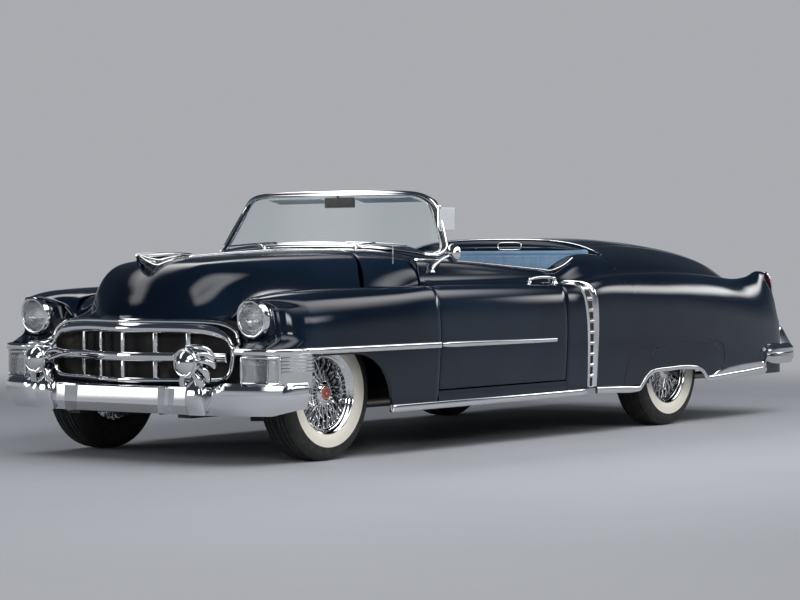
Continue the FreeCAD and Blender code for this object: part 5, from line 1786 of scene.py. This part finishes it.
def carpetPile(name, colour):
    f = Finish(name)
    where = f.place()
    tuft = f.noise(where, 620, 3, 0.7)
    patch = f.noise(where, 7, 4)
    dark = tuple(c * 0.45 for c in colour)
    f.set(BaseColor=f.mix(tuft.rise(0.3, 0.7), dark, f.mix(patch, colour, tuple(c * 1.3 for c in colour))))
    f.set(Roughness=0.95, SheenWeight=0.3, Normal=f.bump(tuft, 0.003, 1.0))
    return f.material


trimValues = {"leather": (0.150, 0.262, 0.395), "dark": (0.020, 0.034, 0.060),
              "carpet": (0.020, 0.036, 0.062)}
blueLeather = leather("blue_leather", trimValues["leather"])
darkLeather = leather("dark_leather", trimValues["dark"])
blueCarpet = carpetPile("blue_carpet", trimValues["carpet"])
dashEnamel = gloss("dash_enamel", (0.022, 0.045, 0.080), (0.014, 0.030, 0.055), 0.3)
wheelPlastic = gloss("wheel_plastic", (0.055, 0.105, 0.165), (0.045, 0.09, 0.14))


def wedge(corners, x0, x1):               # side view from low front, up and over to low back
    deselect()
    bpy.ops.mesh.primitive_cube_add(size=2)
    piece = bpy.context.object
    order = {(-1, -1): 0, (-1, 1): 1, (1, 1): 2, (1, -1): 3}
    for vertex in piece.data.vertices:
        s, z = corners[order[(round(vertex.co.y), round(vertex.co.z))]]
        vertex.co = at(x0 if vertex.co.x < 0 else x1, s, z)
    return piece


seatValues = {"voxel": 0.012, "pressure": 4.0, "cap": 0.024, "steps": 20, "channel": 66.0, "depth": 7.0,
              "border": 70.0, "rounding": 0.034, "fill": 0.8}


def pad(name, corners, x0, x1, facing, border=None):    # blown up by cloth, then sewn into channels
    piece = wedge(corners, x0, x1)
    apply(piece, "BEVEL", width=seatValues["rounding"], segments=4)
    apply(piece, "REMESH", mode="VOXEL", voxel_size=seatValues["voxel"])
    rest = [vertex.co.copy() for vertex in piece.data.vertices]
    cloth = piece.modifiers.new("Cloth", "CLOTH")
    cloth.settings.use_pressure = True
    cloth.settings.uniform_pressure_force = seatValues["pressure"]
    cloth.settings.quality = 4
    cloth.settings.effector_weights.gravity = 0
    cloth.collision_settings.use_collision = False
    for step in range(1, seatValues["steps"] + 1):
        bpy.context.scene.frame_set(step)
    deselect()
    piece.select_set(True)
    bpy.context.view_layer.objects.active = piece
    bpy.ops.object.modifier_apply(modifier=cloth.name)
    bpy.context.scene.frame_set(1)
    for vertex, start in zip(piece.data.vertices, rest):
        moved = vertex.co - start
        if moved.length > seatValues["cap"]:
            vertex.co = start + moved * (seatValues["cap"] / moved.length)
    apply(piece, "SUBSURF", levels=1, render_levels=1)
    edge = border or seatValues["border"]
    low, high = (x0 + edge) * mm, (x1 - edge) * mm
    span = [min(c[0] for c in corners) * mm + frontAxleY, max(c[0] for c in corners) * mm + frontAxleY]
    tall = [min(c[1] for c in corners) * mm, max(c[1] for c in corners) * mm]
    normals = [vertex.normal.copy() for vertex in piece.data.vertices]
    count = round((high - low) / (seatValues["channel"] * mm))
    for vertex, normal in zip(piece.data.vertices, normals):
        look = normal.dot(facing)
        if look < 0.35 or not low - 0.01 < vertex.co.x < high + 0.01:
            continue
        share = (vertex.co.x - low) / (high - low) * count
        groove = (1 - abs(math.sin(math.pi * share)) ** 0.45) if low <= vertex.co.x <= high else 0
        if abs(facing.z) > 0.7:
            reach = min(vertex.co.y - span[0], span[1] - vertex.co.y)
        else:
            reach = min(vertex.co.z - tall[0], tall[1] - vertex.co.z)
        fade = clamp((reach - 0.045) / 0.02)
        hem = max(0, 1 - abs(reach - 0.052) / 0.009) if low < vertex.co.x < high else 0
        sides = max(0, 1 - min(abs(vertex.co.x - low), abs(vertex.co.x - high)) / 0.009) * fade
        sunk = min(1.15, max(groove * fade, hem, sides))
        vertex.co -= normal * seatValues["depth"] * mm * sunk * min(1, (look - 0.35) * 4)
    smooth(piece, 60)
    named(name, blueLeather, "body", "leather")
    return piece


def seats():
    up, front = zAxis, Vector((0, -1, 0.1))
    cushion = pad("front_cushion", [(1462, 452), (1462, 568), (1945, 540), (1945, 452)], -672, 672, up)
    backrest = [(1925, 556), (2030, 962), (2074, 962), (2030, 470)]
    left = pad("front_back_left", backrest, 14, 672, front, 60)
    right = pad("front_back_right", backrest, -672, -14, front, 60)
    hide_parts("front_seat")
    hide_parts("front_seat")
    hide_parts("front_seat")
    base = block(at(-650, 1480, 352), at(650, 1960, 450), 0.012, 3)
    edit("SELECT", base, (bpy.ops.mesh.subdivide, {"number_cuts": 2}))
    smooth(base, 40)
    named("front_seat_base", darkLeather, "body", "leather")
    for side in (1, -1):
        shield = sheet(10, 3, lambda u, v: at(side * (690 - 3 * math.sin(math.pi * u)), 1460 + 600 * u,
                                              pick([360, 372, 400, 440], v) + 60 * u * v))
        apply(shield, "SOLIDIFY", thickness=0.005)
        apply(shield, "BEVEL", width=0.002, segments=2)
        smooth(shield, 40)
        named("seat_side_left" if side > 0 else "seat_side_right", chrome, "body", "chrome")
    low = pad("rear_cushion", [(2172, 450), (2172, 540), (2535, 522), (2535, 450)], -618, 618, up)
    high = pad("rear_back", [(2530, 560), (2600, 1092), (2648, 1092), (2662, 470)], -712, 712, front)
    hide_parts("rear_seat")
    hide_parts("rear_seat")
    riser = block(at(-640, 2182, 350), at(640, 2560, 448), 0.010, 3)
    edit("SELECT", riser, (bpy.ops.mesh.subdivide, {"number_cuts": 2}))
    named("rear_seat_base", blueCarpet, "body", "carpet")
    for side, name in ((1, "left"), (-1, "right")):
        rest = wedge([(2190, 470), (2190, 690), (2560, 705), (2560, 470)], side * 640, side * 728)
        if side < 0:
            edit("SELECT", rest, (bpy.ops.mesh.flip_normals, {}))
        apply(rest, "BEVEL", width=0.028, segments=5)
        apply(rest, "SUBSURF", levels=1, render_levels=1)
        smooth(rest, 60)
        named("rear_armrest_" + name, blueLeather, "body", "leather")
        def placed(u, v):
            s = 1952 + 728 * u
            top = quarterLine(s)[0][1] - 6
            return at(side * (740 - 6 * math.sin(math.pi * min(1, v * 1.4)) ** 2), s, 350 + (top - 350) * v)
        panelMade = sheet(30, 24, placed)
        outward(panelMade, at(side * 900, 2300, 600))
        apply(panelMade, "SOLIDIFY", thickness=0.004, offset=-1.0)
        smooth(panelMade, 40)
        named("rear_side_trim_" + name, blueLeather, "body", "leather")
        roll = sweep(placedLine([(side * 770, 2150, 962), (side * 772, 2200, 975), (side * 776, 2250, 996),
                                 (side * 780, 2290, 1016)]),
                     ring(0.024, 16), zAxis, [0.8, 1, 1, 0.85])
        smooth(roll, 60)
        named("kick_up_roll_" + name, darkLeather, "body", "leather")


doorTrimValues = {"armrest": 42, "pleat": 3.5, "pleats": 24, "strips": (622, 470)}


def doorTrims():
    def placed(u, v):
        s = 790 + 1120 * u
        top = row(beltTable, s)[0] - 22
        z = 352 + (top - 352) * v
        bulge = 0
        if 0.46 < v < 0.66 and 0.2 < u < 0.86:
            ends = min(1, (u - 0.2) * 12, (0.86 - u) * 12)
            bulge = doorTrimValues["armrest"] * math.sin(math.pi * (v - 0.46) / 0.2) ** 0.7 * ends
        pleatOn = 1 if v >= 0.70 and 0.04 < u < 0.96 else 0
        wave = abs(math.sin(math.pi * u * doorTrimValues["pleats"])) ** 0.5
        pleat = doorTrimValues["pleat"] * wave * pleatOn
        return at(784 - bulge - pleat, s, z)
    trim = sheet(144, 40, placed)
    outward(trim, at(950, 1350, 650))
    apply(trim, "SOLIDIFY", thickness=0.004, offset=-1.0)
    smooth(trim, 50)
    bothSides(trim, "door_trim", blueLeather, "door_left", "leather", otherBody="door_right")
    strips = [sweep(placedLine([(781, s, z) for s in spaced(800, 1905, 60)]), capsule(0.004, 0.007, 10))
              for z in doorTrimValues["strips"]]
    crank = [lathe([(-0.030, 0.0002), (-0.030, 0.010), (-0.012, 0.012), (0.0, 0.020), (0.004, 0.0002)],
                   at(775, 1180, 760), "X", 24),
             sweep(placedLine([(752, 1180, 760), (748, 1215, 748), (748, 1262, 730)]),
                   capsule(0.007, 0.005, 12), xAxis),
             lathe([(-0.026, 0.0002), (-0.026, 0.010), (-0.010, 0.012), (0.0, 0.008), (0.002, 0.0002)],
                   at(746, 1262, 730), "X", 24)]
    lever = [lathe([(-0.026, 0.0002), (-0.026, 0.011), (0.0, 0.020), (0.004, 0.0002)], at(775, 1010, 800),
                   "X", 24),
             sweep(placedLine([(754, 1010, 800), (750, 1060, 802), (752, 1110, 808)]),
                   capsule(0.008, 0.005, 12), xAxis, [1, 1.1, 0.7])]
    whole = join([*strips, *crank, *lever])
    smooth(whole, 45)
    bothSides(whole, "door_trim_fittings", chrome, "door_left", "chrome", otherBody="door_right")


def floors():
    def height(x, s):
        ease = clamp((1400 - s) / 80)
        wide = 74 + 138 * ease
        top = 430 + 178 * ease
        share = clamp((wide + 34 - abs(x)) / 34)
        return 349 + (top - 349) * share * share * (3 - 2 * share)
    mat = sheet(90, 64, lambda u, v: at(-748 + 1496 * u, 712 + 1968 * v,
                                        height(-748 + 1496 * u, 712 + 1968 * v) + 1))
    smooth(mat, 50)
    apply(mat, "SOLIDIFY", thickness=0.004, offset=1)
    named("cabin_carpet", blueCarpet, "body", "carpet")
    kick = sheet(20, 12, lambda u, v: at(-745 + 1490 * u, 706 + 10 * v, 360 + 520 * v))
    apply(kick, "SOLIDIFY", thickness=0.004)
    named("toe_carpet", blueCarpet, "body", "carpet")
    for x, wide, z in ((530, 26, 470), (400, 32, 480), (290, 32, 480)):
        plate = block(at(x - wide, 812, z - 40), at(x + wide, 822, z + 40), 0.006, 3)
        arm = sweep(placedLine([(x, 720, z + 60), (x, 780, z + 30), (x, 812, z)]), ring(0.007, 10), xAxis)
        whole = join([plate, arm])
        smooth(whole, 40)
        named("pedal_" + {530: "clutch", 400: "brake", 290: "throttle"}[x], gasket, "body", "tyre_rubber")


def dialFace(name, centre, radius, count):
    f = Finish(name)
    x, _, z = f.split(f.place(centre))
    distance = (x * x + z * z) ** 0.5
    turn = f.node("ShaderNodeMath", {"operation": "ARCTAN2"}, [x, z])
    ticks = (turn * (count / 2)).sine()
    ticks = abs(ticks).rise(0.985, 0.995) * distance.band(radius * 0.80, radius * 0.95, 0.0006)
    hand = abs(x - z * 0.35).rise(0.0012, 0.0007) * distance.band(0.002, radius * 0.75, 0.0008) * (z > 0)
    hub = distance < radius * 0.10
    cloud = f.noise(f.place(), 50, 2)
    face = f.mix(cloud, (0.012, 0.020, 0.034), (0.016, 0.026, 0.042))
    marked = f.mix(ticks, face, (0.75, 0.78, 0.74))
    marked = f.mix(hand, marked, (0.62, 0.10, 0.04))
    f.set(BaseColor=f.mix(hub, marked, (0.5, 0.5, 0.5)), Roughness=0.3 + cloud * 0.1, CoatWeight=0.6)
    return f.material


dashValues = {"dials": [("speed_dial", 400, 0.040, 24), ("fuel_dial", 305, 0.026, 12),
                        ("heat_dial", 495, 0.026, 12), ("clock_face", -180, 0.030, 12)],
              "knobs": (60, 100, 140, 180, -60), "bars": 9, "trim": (896, 962)}


def dashboardMade():
    shape = [(905, 885), (905, 985), (935, 1002), (985, 1004), (1024, 997), (1044, 984), (1050, 968),
             (1046, 950), (1040, 930), (1036, 900), (1030, 886), (1020, 882)]
    steps = [-754, -748, *spaced(-720, 720, 60), 748, 754]
    def placed(u, v):
        k = rowAt(v, steps)
        s, z = shape[round(u * len(shape)) % len(shape)]
        if v in (0, 1):
            s, z = 975, 940
        return at(steps[k], s, z)
    dash = sheet(len(shape), len(steps) + 1, placed)
    apply(dash, "BEVEL", width=0.006, segments=3, limit_method="ANGLE", angle_limit=math.radians(24))
    smooth(dash, 50)
    named("dash_panel", dashEnamel, "body", "dash_paint")
    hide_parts("dashboard")
    roll = sweep(placedLine([(x, 1036, 988) for x in spaced(-744, 744, 62)]), capsule(0.022, 0.017, 16))
    smooth(roll, 50)
    named("dash_roll", darkLeather, "body", "leather")
    parts = []
    for z in dashValues["trim"]:
        parts.append(sweep(placedLine([(x, 1048 if z > 900 else 1040, z) for x in spaced(-740, 740, 74)]),
                           capsule(0.004, 0.0045, 10)))
    for name, x, radius, count in dashValues["dials"]:
        centre = at(x, 1050, 930)
        parts.append(lathe([(-0.016, radius + 0.001), (-0.012, radius + 0.006), (0.004, radius + 0.007),
                            (0.010, radius + 0.004), (0.010, radius), (0.002, radius - 0.001),
                            (-0.016, radius + 0.001)], centre, "Y", 40))
        lathe([(-0.010, 0.0002), (-0.010, radius), (0.001, radius), (0.0025, 0.0002)], centre, "Y", 40)
        named(name, dialFace(name + "_marks", centre, radius, count), "body", "dash_paint")
    for x in dashValues["knobs"]:
        parts.append(lathe([(-0.012, 0.0002), (-0.012, 0.007), (0.010, 0.007), (0.012, 0.011),
                            (0.020, 0.0105), (0.023, 0.0002)],
                           at(x, 1046, 925), "Y", 20))
    for k in range(dashValues["bars"]):
        parts.append(sweep(placedLine([(-50 + 12 * k, 1046, 945), (-50 + 12 * k, 1046, 908)]),
                           ring(0.0025, 8), yAxis))
    whole = join(parts)
    smooth(whole, 45)
    named("dash_bright_work", chrome, "body", "chrome")
    block(at(-640, 1042, 902), at(-290, 1052, 956), 0.004, 3)
    named("glovebox_lid", dashEnamel, "body", "dash_paint")


steeringValues = {"hub": (400, 1290, 911), "tilt": 30, "radius": 0.204, "grip": 0.0105, "horn": 0.135}


def steeringWheel():
    tilt = Matrix.Rotation(math.radians(steeringValues["tilt"]), 3, "X")
    hubAt = at(*steeringValues["hub"])
    radius, thick, reach = steeringValues["radius"], steeringValues["grip"], steeringValues["horn"]
    def turned(piece):
        for vertex in piece.data.vertices:
            vertex.co = hubAt + tilt @ vertex.co
        return piece
    grip = [(thick * math.sin(2 * math.pi * k / 14),
             radius + thick * math.cos(2 * math.pi * k / 14)) for k in range(15)]
    rim = turned(lathe(grip, Vector(), "Y", 128))
    smooth(rim, 60)
    named("steering_rim", wheelPlastic, "steering_wheel", "wheel_plastic")
    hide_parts("steering_wheel")
    spokes = []
    for angle in (0, 180, 270):
        a = math.radians(angle)
        way = Vector((math.cos(a), 0, math.sin(a)))
        spokes.append(sweep([way * 0.03 + Vector((0, -0.02, 0)), way * 0.10 + Vector((0, -0.018, 0)),
                             way * 0.17 + Vector((0, -0.006, 0)), way * 0.200],
                            capsule(0.013, 0.006, 14), yAxis, [1.3, 1.0, 0.9, 0.9]))
    spokes.append(lathe([(-0.045, 0.0002), (-0.045, 0.030), (-0.015, 0.046), (-0.004, 0.042), (0.0, 0.0002)],
                        Vector(), "Y", 40))
    centre = turned(join(spokes))
    smooth(centre, 50)
    named("steering_spokes", wheelPlastic, "steering_wheel", "wheel_plastic")
    horn = [sweep([Vector((reach * math.cos(math.radians(t)), -0.002, reach * math.sin(math.radians(t))))
                   for t in range(190, 351, 8)], ring(0.0045, 10), yAxis)]
    for t in (190, 350):
        way = Vector((math.cos(math.radians(t)), 0, math.sin(math.radians(t))))
        horn.append(sweep([way * 0.030, way * reach + Vector((0, -0.002, 0))], ring(0.004, 10), yAxis))
    horn.append(lathe([(-0.006, 0.0002), (-0.006, 0.034), (0.002, 0.035), (0.008, 0.028), (0.012, 0.014),
                       (0.013, 0.0002)],
                      Vector(), "Y", 40))
    whole = turned(join(horn))
    smooth(whole, 50)
    named("horn_ring", chrome, "steering_wheel", "chrome")
    levers = []
    for side, up, knob in ((1, 0.10, 0.010), (-1, 0.06, 0.007)):
        start, end = Vector((side * 0.030, -0.075, 0.0)), Vector((side * 0.175, -0.045, up * 0.4))
        levers.append(sweep([start, start.lerp(end, 0.5), end], ring(0.004, 10), yAxis))
        levers.append(sweep([end, end + (end - start).normalized() * 0.02], ring(knob, 12), yAxis,
                            [0.8, 1.0]))
    whole = turned(join(levers))
    smooth(whole, 50)
    named("column_levers", chrome, "body", "chrome")


coverValues = {"edge": (0.006, 0.0045), "latch": (87, 22), "latchAt": (87, 2676, 1094)}


def coverLip():
    def placed(u, v):
        x = -744 + 1488 * u
        top = deckHeight(2700, abs(x))
        return at(x, 2694 - 14 * math.sin(math.pi * v) - 6 * (1 - v), 1046 + (top - 1046) * v)
    lip = sheet(60, 8, placed)
    outward(lip, at(0, 2900, 1000))
    apply(lip, "SOLIDIFY", thickness=0.004, offset=-1.0)
    smooth(lip, 50)
    named("cover_lip", bodyPaint, "body", "paint")
    edge = sweep([at(x, 2690, deckHeight(2700, abs(x)) + 3) for x in spaced(-742, 742, 53)],
                 capsule(*coverValues["edge"], 10))
    smooth(edge, 50)
    named("cover_edge_strip", chrome, "body", "chrome")
    (wide, tall), (x0, s0, z0) = coverValues["latch"], coverValues["latchAt"]
    ringLine = [at(x0 + wide * math.copysign(abs(math.cos(t)) ** 0.45, math.cos(t)), s0,
                   z0 + tall * math.copysign(abs(math.sin(t)) ** 0.45, math.sin(t)))
                for t in [2 * math.pi * k / 40 for k in range(40)]]
    frameMade = sweep(ringLine, ring(0.0035, 8), yAxis, closed=True)
    smooth(frameMade, 50)
    named("cover_latch_frame", chrome, "body", "chrome")


seats()
doorTrims()
floors()
dashboardMade()
steeringWheel()
coverLip()
print("cabin made")


engineValues = {"blades": 5, "fanAt": (0, -330, 620), "coverRibs": 5, "batteryCaps": 6, "hose": 0.024}


def engineBay():
    can = lathe([(0, 0.0002), (0, 0.06), (0.006, 0.150), (0.012, 0.166), (0.060, 0.168), (0.070, 0.160),
                 (0.082, 0.120), (0.086, 0.030), (0.098, 0.022), (0.100, 0.0002)], at(0, 60, 905), "Z", 64)
    named("air_cleaner", wheelPlastic, "body", "dark_metal")
    smooth(can, 40)
    covers = []
    for side in (1, -1):
        cover = block(at(side * 205 - 62, -215, 898), at(side * 205 + 62, 400, 942), 0.018, 4)
        covers.append(cover)
        for k in range(engineValues["coverRibs"]):
            covers.append(block(at(side * 205 - 50, -180 + 120 * k, 940),
                                at(side * 205 + 50, -168 + 120 * k, 947), 0.002))
    whole = join(covers)
    smooth(whole, 40)
    named("rocker_covers", chrome, "body", "chrome")
    for side in (1, -1):
        hose = sweep(curve([at(side * 120, -280, 860), at(side * 130, -320, 860),
                            at(side * 160, -370, 800), at(side * 170, -420, 705)], 6),
                     ring(engineValues["hose"], 16))
        smooth(hose, 60)
        named("water_hose_left" if side > 0 else "water_hose_right", gasket, "body", "tyre_rubber")
    fan, centre = [], at(*engineValues["fanAt"])
    for k in range(engineValues["blades"]):
        a = 2 * math.pi * k / engineValues["blades"]
        way, across = Vector((math.cos(a), 0, math.sin(a))), Vector((-math.sin(a), 0, math.cos(a)))
        fan.append(sweep([centre + way * r for r in (0.03, 0.08, 0.16, 0.205)], capsule(0.034, 0.003, 12),
                         yAxis * 0.9 + across * 0.5, [0.5, 0.9, 1.1, 1.0]))
    fan.append(lathe([(-0.03, 0.0002), (-0.03, 0.045), (0.03, 0.05), (0.05, 0.05), (0.05, 0.0002)], centre,
                     "Y", 32))
    whole = join(fan)
    smooth(whole, 40)
    named("cooling_fan", castMetal, "body", "dark_metal")
    battery = [block(at(-560, 470, 640), at(-420, 650, 810), 0.006),
               block(at(-566, 464, 805), at(-414, 656, 826), 0.008, 3)]
    for k in range(engineValues["batteryCaps"]):
        battery.append(lathe([(0, 0.0002), (0, 0.012), (0.012, 0.012), (0.014, 0.0002)],
                             at(-520, 485 + 30 * k, 826), "Z", 16))
    whole = join(battery)
    smooth(whole, 40)
    named("battery", gasket, "body", "dark_metal")


engineBay()
print("engine bay made")


def nodeFinish():
    enamel = gloss("engine_enamel", (0.020, 0.045, 0.085), (0.015, 0.035, 0.065))
    exhaustSteel = satinMetal("exhaust_steel", (0.32, 0.29, 0.26), 0.35, 0.9, 60, (0.16, 0.09, 0.05))
    tankGrey = satinMetal("tank_grey", (0.09, 0.09, 0.095), 0.45, 0.6, 80)
    column = gloss("column_enamel", (0.030, 0.055, 0.090), (0.022, 0.042, 0.072))
    wanted = {"engine_block": enamel, "exhaust": exhaustSteel, "fuel_tank": tankGrey,
              "chassis_frame": darkMetal, "driveline": castMetal, "rear_axle": castMetal,
              "front_suspension": darkMetal, "firewall": bodyPaint, "radiator": innerBlack,
              "inner_fenders": innerBlack, "trunk_floor": blueCarpet, "floor_pan": darkMetal,
              "tail_panel": bodyPaint, "steering_column": column, "knuckle_left": castMetal,
              "knuckle_right": castMetal}
    for name, finish in wanted.items():
        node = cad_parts[name]
        for slotAt in node.material_slots:
            slotAt.material = finish


nodeFinish()
print("frame finishes set")


cameraValues = {"place": (8.99733, -11.87164, 1.07059), "azimuth": 37.71, "down": 1.12, "roll": -0.32,
                "lens": 113.57}


studioValues = {"pale": (0.40, 0.41, 0.435), "lit": (0.34, 0.35, 0.37), "air": (0.34, 0.37, 0.42),
                "airStrength": 0.5, "fadeStart": 3.6, "fadeEnd": 9.0, "floorSize": 400.0,
                "dim": (0.035, 0.045, 0.060), "ceiling": (0.0, 0.22)}


def seenFactor(f):                        # 1 for rays that should meet the pale surroundings
    camera, glossy, through = [f.node("ShaderNodeLightPath", out=name)
                               for name in ("Is Camera Ray", "Is Glossy Ray", "Is Transmission Ray")]
    return camera.top(glossy).top(through)


def softEdge(lamp):                       # a softbox that fades towards its edges
    lamp.use_nodes = True
    f = Nodes(lamp.node_tree)
    wide, deep = f.split(f.node("ShaderNodeNewGeometry", out="Parametric"))[:2]
    fade = [abs(part - 0.5).rise(0.5, solid) for part, solid in ((wide, 0.3), (deep, 0.06))]
    f.join(f.tree.nodes["Emission"].inputs["Strength"], fade[0] * fade[1])


def studio():
    deselect()
    bpy.ops.mesh.primitive_plane_add(size=studioValues["floorSize"])
    floor = bpy.context.object
    floor.name = "studio_floor"
    f = Finish("pale_floor")
    seen = seenFactor(f)
    where = f.place()
    x, y = f.split(f.place())[:2]
    far = ((x * x + y * y) ** 0.5).rise(studioValues["fadeStart"], studioValues["fadeEnd"])
    cloud = f.noise(where, 0.5, 3)
    pale = studioValues["pale"]
    shown = f.mix(cloud.rise(0.3, 0.7), tuple(c * 0.97 for c in pale), tuple(c * 1.03 for c in pale))
    f.set(BaseColor=f.mix(seen, studioValues["lit"], shown), Roughness=0.8, SpecularIORLevel=0.15)
    glow = f.node("ShaderNodeEmission", None, [(*pale, 1)])
    blend = f.node("ShaderNodeMixShader", None, [far * seen, Wire(f, f.shader.outputs[0]), glow])
    f.join(f.tree.nodes["Material Output"].inputs[0], blend)
    floor.data.materials.append(f.material)

    world = bpy.data.worlds.new("studio_air")
    bpy.context.scene.world = world
    world.use_nodes = True
    f = Nodes(world.node_tree)
    sky = f.tree.nodes["Background"]
    sky.inputs[0].default_value = (*studioValues["air"], 1)
    sky.inputs[1].default_value = studioValues["airStrength"]
    climb = f.split(f.node("ShaderNodeTexCoord", out="Generated"))[2].rise(*studioValues["ceiling"])
    tone = f.mix(climb * f.node("ShaderNodeLightPath", out="Is Glossy Ray"), pale, studioValues["dim"])
    around = f.node("ShaderNodeBackground", None, [tone])
    blend = f.node("ShaderNodeMixShader", None, [seenFactor(f), Wire(f, sky.outputs[0]), around])
    f.join(f.tree.nodes["World Output"].inputs[0], blend)

    lamps = [("overhead_strip_left", (3.5, -0.4, 4.1), (0.3, -0.5, 0.6), 13.0, 3.8, 640),
             ("overhead_strip_right", (-2.7, -1.9, 4.4), (-0.3, -1.9, 0.6), 11.0, 2.0, 205),
             ("front_softbox", (5.5, -8.5, 3.4), (0.2, -1.6, 0.5), 3.2, 2.2, 330),
             ("grille_softbox", (-5.2, -8.6, 1.7), (0.0, -2.5, 0.5), 3.6, 2.4, 190),
             ("side_softbox", (7.5, 1.5, 3.2), (0.4, 0.6, 0.4), 6.0, 1.6, 130),
             ("rear_softbox", (4.2, 8.4, 3.2), (0.2, 1.5, 0.5), 5.0, 1.6, 150)]
    for name, place, aim, wide, deep, power in lamps:
        deselect()
        bpy.ops.object.light_add(type="AREA", location=place)
        lamp = bpy.context.object
        lamp.name = name
        away = (Vector(place) - Vector(aim)).normalized()
        length = yAxis if abs(away.y) < 0.7 else xAxis
        across = length.cross(away).normalized()
        lamp.rotation_euler = Matrix((across.cross(away), across, away)).transposed().to_euler()
        lamp.data.shape = "RECTANGLE"
        lamp.data.size, lamp.data.size_y = wide, deep
        lamp.data.energy = power
        softEdge(lamp.data)

    turn, down, roll = [math.radians(cameraValues[key]) for key in ("azimuth", "down", "roll")]
    view = Vector((-math.sin(turn) * math.cos(down), math.cos(turn) * math.cos(down), -math.sin(down)))
    right = Vector((math.cos(turn), math.sin(turn), 0))
    rise = right.cross(view)
    c, s = math.cos(roll), math.sin(roll)
    right, rise = right * c + rise * s, rise * c - right * s
    bpy.ops.object.camera_add()
    camera = bpy.context.object
    facing = Matrix((right, rise, -view)).transposed().to_4x4()
    camera.matrix_world = Matrix.Translation(cameraValues["place"]) @ facing
    camera.data.lens = cameraValues["lens"]
    camera.data.sensor_width = 36
    bpy.context.scene.camera = camera
    bpy.context.scene.view_settings.view_transform = "Standard"
    print("studio made")


studio()
